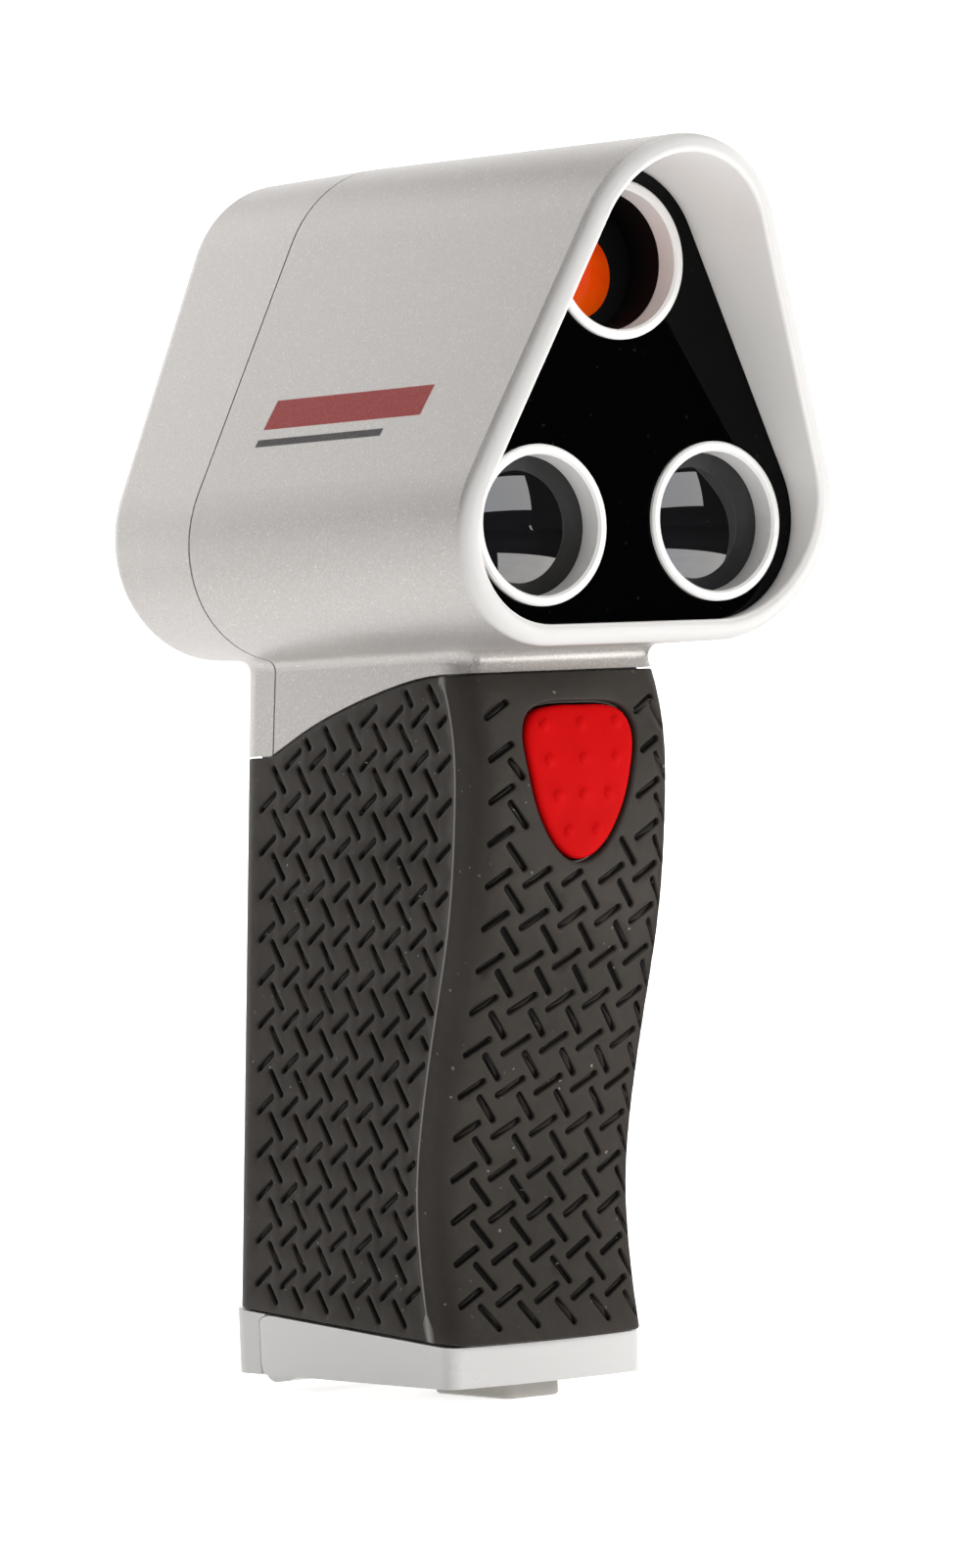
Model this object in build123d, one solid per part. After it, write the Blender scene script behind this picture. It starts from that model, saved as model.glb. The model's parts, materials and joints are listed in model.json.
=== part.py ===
from build123d import *
from math import acos, atan2, cos, hypot, pi, radians, sin, sqrt
import os

# Hand-held pistol-grip laser range finder, in millimetres.
# X runs across, Y from the lenses (minus) to the eyepiece (plus), Z up from the foot.

# Head
low_x = 15.6
low_z = 132.83
low_r = 18.65
top_z = 170.46
top_r = 18.4
growth = 0.0003
joint_scale = 1.022
rear_scale = 1.004
rear_lift = 0.66
head_front_y = -66.0
head_rear_y = 55.5
rim_y = -41.06
rim_rake = 0.259
parting_y = 31.49
parting_rake = 0.125
head_wall = 2.6
hood_lip = 3.2
ledge = 1.6
seam = 0.35

# Optics
bezel_y = -34.26
bezel_thick = 2.4
pair_x = 16.27
pair_z = 132.1
sight_z = 171.44
ring_r = 12.0
ring_bore = 10.5
ring_proud = 0.95
lens_y = -30.9
lens_r = 10.85
lens_edge = 2.0
filter_r = 6.7
filter_y = -23.5
filter_z = 169.9
filter_thick = 1.6
tube_bore = 10.35

# Grip
grip_x = 18.3
corner_x = 3.4
corner_y = 6.76
crown_r = 90.0
rear_r = 5.0
rear_y_at_foot = 55.75
rear_rake = 0.1
rubber = 2.0
grip_wall = 2.0
# Height and front position of the grip's centre line
grip_line = (
    (122.0, -15.6),
    (112.0, -17.7),
    (103.0, -20.6),
    (93.0, -20.8),
    (80.0, -19.1),
    (68.0, -16.2),
    (56.0, -12.2),
    (45.0, -8.9),
    (36.0, -6.9),
    (27.0, -6.3),
    (17.0, -7.1),
    (8.0, -8.6),
    (2.0, -9.4),
)

# Base
base_bottom = 2.7
base_front_side_y = -5.0
base_front_y = -6.5
base_corner = 2.5
base_wall = 1.9
base_floor = 2.4
base_top_rear = 12.6
base_top_y = 51.2
base_top_slope = 0.063
base_seam_y = 46.3
hinge_y = 42.6
hinge_z = 5.2
knuckle_r = 3.6

# Trigger and buttons
shield_z = 93.8
shield_half_w = 10.35
shield_half_h = 12.28
trigger_gap = 0.45
flange_y = -13.4
bump_r = 1.4
bump_rise = 0.35
button_z = 127.0
button_r = 4.5
button_face_y = 55.2
latch_travel = 3.0

# Rear face
window_x = 15.5
window_low = 136.5
window_high = 154.5
eyepiece_r = 12.3
eyepiece_way_r = 10.6

# Tubes and boards
tube_r = 12.0
tube_front_y = -26.98
diode_y = 7.2
diode_r = 5.0
main_board_y = 14.02
main_board_thick = 1.6
display_board_y = 47.3
display_board_thick = 1.6
switch_board_front_y = -1.5

# Battery bay
battery_x = 13.25
battery_front_y = 14.4
battery_rear_y = 31.9
battery_low = 10.6
battery_high = 56.6
stud_y = 23.1
stud_pair = ((-6.35, 2.9), (6.35, 3.6))
cradle_x = 14.1
cradle_thick = 1.2

# Rubber's top edge, as depth and height, falling from the front to the rear
rubber_top = ((36.4, 99.4), (27.3, 102.9), (16.8, 106.1), (4.5, 108.9), (-10.7, 110.75))


def upright(y):
    """Plane across the object at depth y, with its own axes along X and Z."""
    return Plane(origin=(0, y, 0), x_dir=(1, 0, 0), z_dir=(0, -1, 0))


def level(z):
    """Horizontal plane at height z."""
    return Plane(origin=(0, 0, z), x_dir=(1, 0, 0), z_dir=(0, 0, 1))


def box(x, y, z):
    """Solid box between pairs of limits along X, Y and Z."""
    size = (x[1] - x[0], y[1] - y[0], z[1] - z[0])
    middle = ((x[0] + x[1]) / 2, (y[0] + y[1]) / 2, (z[0] + z[1]) / 2)
    return Pos(*middle) * Box(*size)


def rod(x, z, y, radius):
    """Round bar along Y between the depths y[0] and y[1]."""
    return Pos(x, (y[0] + y[1]) / 2, z) * Rot(90, 0, 0) * Cylinder(radius, y[1] - y[0])


def cross_rod(y, z, x, radius):
    """Round bar along X between x[0] and x[1]."""
    return Pos((x[0] + x[1]) / 2, y, z) * Rot(0, 90, 0) * Cylinder(radius, x[1] - x[0])


def turned(profile, x, z):
    """Body turned about a Y axis at x and z, from (radius, y) points."""
    face = make_face(Polyline(*[(r, y, 0) for r, y in profile], close=True))
    return Pos(x, 0, z) * revolve(face, axis=Axis.Y)


# Head shapes


def hull_wire(circles, plane):
    """Closed wire drawn tight round three circles given as (across, up, radius)."""
    starts = []
    for i in range(len(circles)):
        x1, z1, r1 = circles[i]
        x2, z2, r2 = circles[(i + 1) % len(circles)]
        angle = atan2(z2 - z1, x2 - x1) - acos((r1 - r2) / hypot(x2 - x1, z2 - z1))
        leave = (x1 + r1 * cos(angle), z1 + r1 * sin(angle))
        arrive = (x2 + r2 * cos(angle), z2 + r2 * sin(angle))
        starts.append((angle, leave, arrive))
    edges = []
    for i in range(len(circles)):
        angle, leave, arrive = starts[i]
        next_angle, next_leave, _ = starts[(i + 1) % len(circles)]
        x, z, r = circles[(i + 1) % len(circles)]
        half = ((next_angle - angle) % (2 * pi)) / 2
        top = (x + r * cos(angle + half), z + r * sin(angle + half))
        edges.append(Edge.make_line(leave, arrive))
        edges.append(Edge.make_three_point_arc(arrive, top, next_leave))
    return plane.location * Wire(edges)


def head_circles(scale, inset, lift=0.0, base=0.0, stretch=1.0):
    """The three corner circles of the head's section, scaled about the lower pair's height."""
    rise = (top_z - low_z) * scale * stretch
    low = low_z + lift - base
    return (
        (-low_x * scale, low, low_r * scale - inset),
        (low_x * scale, low, low_r * scale - inset),
        (0, low + rise, top_r * scale - inset),
    )


def front_scale(y):
    return 1 + growth * (y - rim_y)


def rear_share(y):
    return (y - parting_y) / (head_rear_y - parting_y)


def head_body(front, rear, inset):
    """The head between two depths, with its outline moved in by inset."""
    lean = sqrt(1 + parting_rake**2)
    joint = Plane(origin=(0, parting_y, low_z), x_dir=(1, 0, 0), z_dir=(0, -1, -parting_rake))
    share = rear_share(rear)
    scale = joint_scale + (rear_scale - joint_scale) * share
    wires = [
        hull_wire(head_circles(front_scale(front), inset), upright(front)),
        hull_wire(head_circles(joint_scale, inset, 0, low_z, lean), joint),
        hull_wire(head_circles(scale, inset, rear_lift * share), upright(rear)),
    ]
    return Solid.make_loft(wires, True)


def head_prism(y, inset):
    """Straight bar with the head's outline, moved in by inset, between two depths."""
    scale = front_scale(bezel_y)
    ends = [hull_wire(head_circles(scale, inset), upright(depth)) for depth in y]
    return Solid.make_loft(ends, True)


def slab(y_at, z_at, rake, back, front):
    """Everything between two parallel raked planes, which pass y_at at height z_at."""
    profile = Polyline(
        (y_at + back + rake * 200, z_at - 200),
        (y_at + front + rake * 200, z_at - 200),
        (y_at + front - rake * 200, z_at + 200),
        (y_at + back - rake * 200, z_at + 200),
        close=True,
    )
    return extrude(Plane.YZ * make_face(profile), 100, both=True)


# Grip shapes


def rear_line(z):
    return rear_y_at_foot - rear_rake * z


def grip_wire(front_y, z, inset):
    """Horizontal section of the grip, with a crowned front and elliptical front corners."""
    x = grip_x - inset
    knee = grip_x - corner_x - inset * 0.5
    drop = crown_r - sqrt(crown_r**2 - knee**2)
    front = front_y + inset
    crown_y = front + drop
    edge_y = crown_y + corner_y - inset * 0.5
    back = rear_line(z) - inset
    r = rear_r - inset
    slope = knee / crown_r
    pull = (x - knee) * 0.7
    bow = r * (1 - sin(pi / 4))
    corner = [
        (x, edge_y),
        (x, edge_y - corner_y * 0.68),
        (knee + pull, crown_y + pull * slope),
        (knee, crown_y),
    ]
    mirrored = [(-a, b) for a, b in corner[::-1]]
    edges = [
        Edge.make_bezier(*corner),
        Edge.make_three_point_arc((knee, crown_y), (0, front), (-knee, crown_y)),
        Edge.make_bezier(*mirrored),
        Edge.make_line((-x, edge_y), (-x, back - r)),
        Edge.make_three_point_arc((-x, back - r), (-x + bow, back - bow), (-x + r, back)),
        Edge.make_line((-x + r, back), (x - r, back)),
        Edge.make_three_point_arc((x - r, back), (x - bow, back - bow), (x, back - r)),
        Edge.make_line((x, back - r), (x, edge_y)),
    ]
    return level(z).location * Wire(edges)


def grip_body(inset):
    """The whole grip from the foot up into the head, with its surface moved in by inset."""
    wires = [grip_wire(y, z, inset) for z, y in grip_line]
    return Solid.make_loft(wires, False)


def base_body(inset, bottom, top):
    """The base's own outline, squarer at the front than the grip, between two heights."""
    x = grip_x - inset
    side = base_front_side_y + inset
    front = base_front_y + inset
    back_low = rear_line(bottom) - inset
    outline = (
        Edge.make_three_point_arc((-x, side), (0, front), (x, side)),
        Edge.make_line((x, side), (x, back_low)),
        Edge.make_line((x, back_low), (-x, back_low)),
        Edge.make_line((-x, back_low), (-x, side)),
    )
    body = extrude(level(bottom) * make_face(Wire(outline)), top - bottom)
    body = fillet(body.edges().filter_by(Axis.Z).sort_by(Axis.Y)[:2], base_corner)
    return fillet(body.edges().filter_by(Axis.Z).sort_by(Axis.Y)[-2:], rear_r - inset)


def below_slope(drop):
    """Everything below the sloped joint between grip and base, lowered by drop."""
    far = 90.0
    rise = base_top_slope * far
    profile = Polyline(
        (base_top_y - far, base_top_rear - rise - drop),
        (base_top_y + far, base_top_rear + rise - drop),
        (base_top_y + far, -far),
        (base_top_y - far, -far),
        close=True,
    )
    return extrude(Plane.YZ * make_face(profile), 60, both=True)


def rubber_zone(drop):
    """Everything below the rubber's curved top edge, lowered by drop."""
    far = 90
    points = [(y, z - drop) for y, z in rubber_top]
    curve = Spline(*points, tangents=((-1, 0.36), (-1, 0.02)))
    rear, front = points[0], points[-1]
    rim = Polyline(front, (-far, front[1]), (-far, -far), (far, -far), (far, rear[1]), rear)
    return extrude(Plane.YZ * make_face(Curve() + [curve, rim]), 60, both=True)


# Trigger shapes


def shield(grow):
    """Outline of the trigger opening, grown by grow on every side."""
    half = (
        (0, 1.0),
        (0.6, 0.98),
        (0.88, 0.88),
        (1.0, 0.70),
        (0.975, 0.25),
        (0.83, -0.24),
        (0.63, -0.6),
        (0.34, -0.89),
        (0, -1.0),
    )
    w = shield_half_w + grow
    h = shield_half_h + grow
    right = [(w * a, shield_z + h * b) for a, b in half]
    left = [(-a, b) for a, b in right[1:-1]][::-1]
    return Spline(*right, *left, periodic=True)


def shield_bar(grow, y):
    """Bar along Y with the trigger's outline."""
    face = make_face(shield(grow))
    return extrude(upright(y[1]) * face, y[1] - y[0])


def coil(radius, wire, turns, start, end, x, z):
    """Coil spring along Y between two depths."""
    pitch = (end - start - wire) / turns
    path = Helix(pitch, end - start - wire, radius)
    ring = Plane(origin=path @ 0, z_dir=path % 0) * Circle(wire / 2)
    body = sweep(ring, path=path, is_frenet=True)
    return Pos(x, end - wire / 2, z) * Rot(90, 0, 0) * body


# Whole shapes that several pieces are cut from

head_outer = head_body(head_front_y, head_rear_y, 0)
grip_outer = grip_body(0)
grip_core = grip_body(rubber)
base_block = base_body(0, base_bottom, 16.0)
cavity_front_y = bezel_y + bezel_thick + 2.0
# Across and height of each housing screw, the depth of its seat, its tip and its front boss
head_screws = ((28.0, 127.1, 50.5, 24.0, 22.0), (22.6, 152.0, 50.5, 24.0, 22.0))
grip_screws = ((11.8, 70.0, 44.0, 30.0, 28.0),)
screw_r = 1.2
screw_head_r = 2.2
screw_head = 1.8


def on_rim(edge):
    """True for edges that lie in the hood's raked front plane."""
    gaps = [abs(p.Y - rim_y + rim_rake * (p.Z - low_z)) for p in (edge @ 0, edge @ 0.5, edge @ 1)]
    return max(gaps) < 0.05


def on_neck_joint(edge):
    """True for the edges where the grip runs into the underside of the head."""
    points = [edge @ (step / 4) for step in range(5)]
    wide = max(abs(p.X) for p in points) < grip_x + 0.2
    low = all(113.9 < p.Z < 115.2 for p in points)
    return wide and low and edge.geom_type == GeomType.BSPLINE and -18 < points[2].Y < 46


def outer_shell():
    """Head, neck and grip core as one solid body with its outside rounded."""
    head = head_outer - slab(rim_y, low_z, rim_rake, -200, 0)
    head = fillet([e for e in head.edges() if on_rim(e)], 2.3)
    last = head_rear_y - 0.01
    back = [e for e in head.edges() if min((e @ share).Y for share in (0, 0.5, 1)) > last]
    head = fillet(back, 3.0)
    neck = grip_outer - rubber_zone(0)
    neck = neck - box((-60, 60), (-90, 90), (118, 200))
    body = head + neck
    body = fillet([e for e in body.edges() if on_neck_joint(e)], 2.0)
    core = (grip_core & rubber_zone(0)) - below_slope(0)
    return body + core


def inner_space():
    """Everything that is hollow inside the head and the grip."""
    hood = head_prism((head_front_y, bezel_y + bezel_thick), hood_lip)
    light_way = head_prism((bezel_y + bezel_thick - 0.1, cavity_front_y + 0.1), hood_lip + ledge)
    head_room = head_body(cavity_front_y, head_rear_y - head_wall, head_wall)
    return hood, light_way, head_room, grip_body(rubber + grip_wall)


def parting_groove():
    """Fine V of shadow that shows where the two housings meet."""
    inside = head_body(head_front_y, head_rear_y + 4, 0.5)
    ring = slab(parting_y, low_z, parting_rake, -seam / 2, seam / 2) - inside
    return ring - grip_body(0.5)


def seats_in_rear_wall():
    """Openings for the eyepiece, the display and the mode button."""
    wall_in = head_rear_y - head_wall
    rim = 2.5
    across = (rim - window_x, window_x - rim)
    eyepiece_way = rod(0, sight_z, (wall_in - 1, head_rear_y + 1), eyepiece_way_r)
    eyepiece_seat = rod(0, sight_z, (54.0, head_rear_y + 1), eyepiece_r)
    window_way = box(across, (wall_in - 1, head_rear_y), (window_low + rim, window_high - rim))
    window_seat = box((-window_x, window_x), (53.6, head_rear_y + 1), (window_low, window_high))
    window_seat = fillet(window_seat.edges().filter_by(Axis.Y), 2.0)
    dish = turned(((0, 54.2), (6.4, 54.2), (8.4, 56.5), (0, 56.5)), 0, button_z)
    button_way = rod(0, button_z, (wall_in - 1, head_rear_y), button_r + 0.08)
    return eyepiece_way + eyepiece_seat + window_way + window_seat + dish + button_way


def screw_bosses(y_pairs, radius):
    """Bars for the bosses or their bores at every screw, from (screw, depths) pairs."""
    bars = [rod(side * s[0], s[1], depths, radius) for s, depths in y_pairs for side in (-1, 1)]
    return Part() + bars


def make_housings():
    """The front and rear halves of the clamshell."""
    hood, light_way, head_room, grip_room = inner_space()
    shell = outer_shell()
    room = head_room + (grip_room - box((-60, 60), (-90, 90), (120, 200)))
    trigger_block = box((-14.6, 14.6), (-30, flange_y), (79.0, 109.5)) & grip_core
    bosses = screw_bosses([(s, (s[4], head_rear_y - 1)) for s in head_screws], 3.4)
    bosses += screw_bosses([(s, (s[4], s[2] + 1.2)) for s in grip_screws], 3.2)
    board_ribs = Part() + [box(x, (0, 1.5), (84, 104)) for x in ((12.4, 14.8), (-14.8, -12.4))]
    solid = shell - room + ((bosses + board_ribs) & (head_outer + grip_core)) + trigger_block
    solid = solid - hood - light_way
    solid = fillet(hood_edge(solid), 0.8)
    solid = solid - parting_groove() - seats_in_rear_wall()
    solid = solid - shield_bar(-0.35, (-40, flange_y + 1))
    screws = head_screws + grip_screws
    solid = solid - screw_bosses([(s, (s[2], 60)) for s in screws], screw_head_r + 0.2)
    front = solid & slab(parting_y, low_z, parting_rake, -200, 0)
    rear = solid & slab(parting_y, low_z, parting_rake, 0, 200)
    front = front - screw_bosses([(s, (s[3] - 1, 60)) for s in screws], screw_r + 0.02)
    rear = rear - screw_bosses([(s, (20, 60)) for s in screws], screw_r + 0.15)
    latch_tab = box((-8, 8), (-2.3, -0.6), (6.0, 14.0))
    tab_root = box((-8, 8), (-5.6, -0.6), (10.2, 14.0)) & grip_core
    front = front + ((latch_tab + tab_root) - (below_slope(0) - latch_tab))
    return front, rear + make_rear_strip()


def hood_edge(solid):
    """The inner edge of the hood's rim."""
    edges = [e for e in solid.edges() if on_rim(e)]
    inner = hull_reach(hood_lip + 0.3)
    return [e for e in edges if inner(e @ 0.5)]


def hull_reach(inset):
    """Test for points that lie inside the head's outline moved in by inset."""
    probe = head_prism((head_front_y, head_rear_y), inset - 0.6)
    return lambda point: probe.is_inside(point, 0.0)


def make_rear_strip():
    """The rear housing's foot, which carries the battery door's hinge barrel."""
    strip = base_block & box((-40, 40), (base_seam_y, 90), (0, 30))
    strip = strip - base_body(2.2, base_bottom + 2.2, 16.0)
    lip = base_block & box((-40, 40), (44.6, base_seam_y + 0.1), (5, 30))
    lip = lip - cross_rod(hinge_y, hinge_z, (-40, 40), 7.05)
    strip = (strip + lip) & below_slope(-0.02)
    inner_lip = base_body(base_wall, base_bottom, 16.0) & box((-40, 40), (40, base_seam_y), (0, 30))
    strip = strip - inner_lip
    web = box((-13, 13), (hinge_y, base_seam_y + 2), (3.2, 7.6))
    barrel = cross_rod(hinge_y, hinge_z, (-13, 13), 3.2) + web
    return strip + barrel - cross_rod(hinge_y, hinge_z, (-20, 20), 1.01)


# Optics


def make_bezel():
    """Glossy panel that fills the hood, with three round windows."""
    panel = head_prism((bezel_y, bezel_y + bezel_thick - 0.02), hood_lip + 0.1)
    for x, z in ((-pair_x, pair_z), (pair_x, pair_z), (0, sight_z)):
        panel = panel - rod(x, z, (bezel_y - 5, bezel_y + 5), 11.5)
    return panel


def make_ring(x, z):
    """White trim ring with a rounded lip and a seat for what is behind it."""
    lip = bezel_y - ring_proud
    profile = (
        (ring_bore, lip + 0.45),
        (ring_bore + 0.35, lip),
        (ring_r - 0.35, lip),
        (ring_r, lip + 0.35),
        (ring_r, bezel_y - 0.01),
        (11.45, bezel_y - 0.01),
        (11.45, -27.0),
        (10.9, -27.0),
        (10.9, lens_y),
        (ring_bore, lens_y),
    )
    return turned(profile, x, z)


def make_lens(x, z):
    """Thick dark lens with a domed front."""
    dome = 28.0
    rim = ring_bore - 0.1
    depth = dome - sqrt(dome**2 - rim**2)
    seat = Line((rim, lens_y), (lens_r, lens_y))
    front = Line((lens_r, lens_y), (lens_r, lens_y + lens_edge))
    back = Line((lens_r, lens_y + lens_edge), (0, lens_y + lens_edge))
    middle = Line((0, lens_y + lens_edge), (0, lens_y - depth))
    bend = sqrt(dome**2 - (rim / 2) ** 2)
    face = ThreePointArc((0, lens_y - depth), (rim / 2, lens_y - depth + dome - bend), (rim, lens_y))
    return Pos(x, 0, z) * revolve(make_face(Curve() + [seat, front, back, middle, face]), axis=Axis.Y)


def make_barrel(x, z):
    """Black tube from a lens back to its detector or emitter."""
    back_of_lens = lens_y + lens_edge
    profile = (
        (10.0, back_of_lens),
        (lens_r, back_of_lens),
        (lens_r, tube_front_y),
        (tube_r, tube_front_y),
        (tube_r, -4.0),
        (6.6, 8.0),
        (6.6, 12.0),
        (5.05, 12.0),
        (5.05, 7.0),
        (10.0, -5.0),
    )
    return turned(profile, x, z)


def make_can(x, z, window):
    """Metal can of the emitter or detector, with a window and three pins."""
    cap = diode_r - 0.4
    base = diode_y + 4.8
    profile = (
        (0, diode_y + 0.4),
        (window, diode_y + 0.4),
        (window, diode_y),
        (cap, diode_y),
        (cap, base - 1.4),
        (diode_r, base - 1.4),
        (diode_r, base),
        (0, base),
    )
    body = turned(profile, x, z)
    for turn in range(3):
        angle = radians(90 + 120 * turn)
        body = body + rod(x + 2.0 * cos(angle), z + 2.0 * sin(angle), (base, base + 2.0), 0.3)
    return body


def make_sight_tube():
    """Black tube of the aiming sight, with a wall near its front that seats the filter off centre."""
    seat = filter_y + filter_thick
    wall_back = seat + 1.2
    profile = (
        (tube_bore, lens_y + 0.02),
        (lens_r, lens_y + 0.02),
        (lens_r, tube_front_y),
        (tube_r, tube_front_y),
        (tube_r, 47.0),
        (eyepiece_way_r, 47.0),
        (eyepiece_way_r, wall_back),
        (0, wall_back),
        (0, filter_y),
        (tube_bore, filter_y),
    )
    pocket = rod(0, filter_z, (filter_y - 1, seat), filter_r + 0.05)
    view_hole = rod(0, filter_z, (seat - 1, wall_back + 1), filter_r - 0.7)
    return turned(profile, 0, sight_z) - pocket - view_hole


def make_filter():
    """Orange sight element with a domed front."""
    rise = 1.1
    back = filter_y + filter_thick
    dome = ThreePointArc((0, filter_y - rise), (filter_r / 2, filter_y - rise * 0.74), (filter_r, filter_y))
    side = Line((filter_r, filter_y), (filter_r, back))
    rear = Line((filter_r, back), (0, back))
    middle = Line((0, back), (0, filter_y - rise))
    return Pos(0, 0, filter_z) * revolve(make_face(Curve() + [dome, side, rear, middle]), axis=Axis.Y)


def make_eyepiece():
    """Black eyepiece ring in the rear wall."""
    profile = (
        (8.0, 44.0),
        (10.5, 44.0),
        (10.5, 54.0),
        (12.2, 54.0),
        (12.2, 55.1),
        (11.9, 55.4),
        (10.4, 55.4),
        (9.0, 54.6),
        (9.0, 52.0),
        (8.0, 52.0),
    )
    return turned(profile, 0, sight_z)


# Electronics


def make_main_board():
    board = box((-24, 24), (main_board_y, main_board_y + main_board_thick), (121, 149))
    return board - rod(-8, 146, (10, 20), 1.1) - rod(8, 146, (10, 20), 1.1)


def make_board_chips():
    """Separate chips and capacitors on the rear of the main board."""
    face = main_board_y + main_board_thick
    chips = [
        box((-6, 6), (face, face + 1.6), (132, 144)),
        box((10, 18), (face, face + 1.3), (135, 141)),
        box((-19, -11), (face, face + 2.0), (134, 142)),
    ]
    cans = [rod(x, 126.0, (face, face + 5.4), 2.5) for x in (-16.0, -9.5, 12.0)]
    return Part() + chips + cans


def make_display_cable():
    """Flat cable that arches from the main board to the display board."""
    start = main_board_y + main_board_thick + 0.02
    end = display_board_y - 0.02
    low, arch, thick, half_width = 123.0, 4.5, 0.3, 5.0
    middle = (start + end) / 2
    under = ThreePointArc((start, low), (middle, low + arch), (end, low))
    over = ThreePointArc((start, low + thick), (middle, low + arch + thick), (end, low + thick))
    near = Line((start, low), (start, low + thick))
    far = Line((end, low), (end, low + thick))
    return extrude(Plane.YZ * make_face(Curve() + [under, over, near, far]), half_width, both=True)


def make_display_board():
    rear = display_board_y + display_board_thick
    return box((-18.5, 18.5), (display_board_y, rear), (120.5, 154.5))


def make_display_panel():
    """Liquid crystal panel in its metal frame."""
    face = display_board_y + display_board_thick + 0.02
    panel = box((-14.2, 14.2), (face, face + 3.68), (138, 153))
    return fillet(panel.edges().filter_by(Axis.Y), 0.8)


def make_display_window():
    gap = 0.1
    across = (gap - window_x, window_x - gap)
    window = box(across, (53.62, 55.1), (window_low + gap, window_high - gap))
    return fillet(window.edges().filter_by(Axis.Y), 1.9)


def make_mode_button():
    """Round button with a retaining flange and a stem that meets its switch."""
    cap = rod(0, button_z, (52.8, button_face_y), button_r)
    cap = fillet(cap.edges().sort_by(Axis.Y)[-1], 0.6)
    return cap + rod(0, button_z, (51.6, 52.86), 5.9) + rod(0, button_z, (50.9, 51.7), 2.0)


def make_mode_switch():
    """Tact switch on the display board, with its round plunger."""
    face = display_board_y + display_board_thick + 0.02
    body = box((-3, 3), (face, face + 0.68), (button_z - 3, button_z + 3))
    return body + rod(0, button_z, (face + 0.5, 50.0), 1.3)


# Grip


def make_sleeve():
    """Rubber sleeve that wraps the grip, open for the trigger."""
    skin = grip_outer - grip_body(rubber - 0.03)
    skin = (skin & rubber_zone(0.25)) - below_slope(-0.3)
    return skin - shield_bar(0, (-40, 0))


def make_trigger():
    """Red cap shaped to the grip's front, with grip bumps, flange and push post."""
    cap = shield_bar(-trigger_gap, (-26, flange_y + 0.1)) & grip_outer
    flange = shield_bar(1.2, (flange_y + 0.02, flange_y + 1.5))
    body = cap + flange - shield_bar(-2.4, (-18.5, 0))
    for x, z in bump_places():
        hit = grip_outer.find_intersection_points(Axis((x, -60, z), (0, 1, 0)))
        surface = min(point.Y for point, _ in hit)
        body = body + Pos(x, surface + bump_r - bump_rise, z) * Sphere(bump_r)
    return body + rod(0, shield_z, (-18.6, -11.4), 1.8)


def bump_places():
    """Across and height of each grip bump: three rows of three and a pair."""
    rows = ((6.7, 3.5, 3), (6.2, 8.9, 3), (4.7, 14.3, 3), (2.6, 19.7, 2))
    top = shield_z + shield_half_h
    places = []
    for spread, drop, count in rows:
        across = (-spread, 0, spread) if count == 3 else (-spread, spread)
        places += [(x, top - drop) for x in across]
    return places


def make_trigger_switch():
    """Switch body behind the trigger, with the plunger that the trigger's post presses."""
    face = switch_board_front_y - 0.02
    body = box((-6.4, 6.4), (-7.4, face), (shield_z - 5, shield_z + 5))
    return body + rod(0, shield_z, (-9.4, -7.0), 1.2)


def make_switch_board():
    return box((-14.1, 14.1), (switch_board_front_y, -0.02), (84.5, 103.5))


# Battery bay


def make_battery():
    """Nine volt block with its two snap studs."""
    depth = (battery_front_y, battery_rear_y)
    body = box((-battery_x, battery_x), depth, (battery_low, battery_high))
    body = fillet(body.edges().filter_by(Axis.Z), 2.0)
    studs = [Pos(x, stud_y, battery_high + 1.1) * Cylinder(r, 2.3) for x, r in stud_pair]
    return body + studs[0] + studs[1]


def make_cradle():
    """Bracket that holds the battery upright, with a slot for the leads."""
    across = (-cradle_x, cradle_x)
    near = battery_front_y - 0.3
    far = battery_rear_y + 0.3
    low, high = 14.0, 62.4
    front = box(across, (near - cradle_thick, near), (low, high))
    back = box(across, (far, far + cradle_thick), (low, high))
    top = box(across, (near - cradle_thick, far + cradle_thick), (high - cradle_thick, high))
    return front + back + top - box((-6, 6), (20.5, 25.5), (60, 64))


def make_connector():
    """Terminal plate with snap rings over the battery's studs."""
    plate = box((-12, 12), (16.5, 29.7), (58.9, 61.18))
    cups = []
    for x, r in stud_pair:
        cups.append(Pos(x, stud_y, 58.0) * (Cylinder(r + 0.9, 1.9) - Cylinder(r + 0.03, 3)))
    return plate + cups[0] + cups[1]


def make_leads():
    """The two wires from the battery terminals up to the main board."""
    wires = []
    for x in (-3.2, 3.2):
        points = ((x, stud_y, 61.2), (x, stud_y, 68), (x * 1.6, 17.0, 96), (x * 2.2, 14.8, 120.98))
        path = Spline(*points, tangents=((0, 0, 1), (0, 0, 1)))
        wires.append(sweep(Plane(origin=path @ 0, z_dir=path % 0) * Circle(0.8), path=path))
    return Part() + wires


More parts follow.
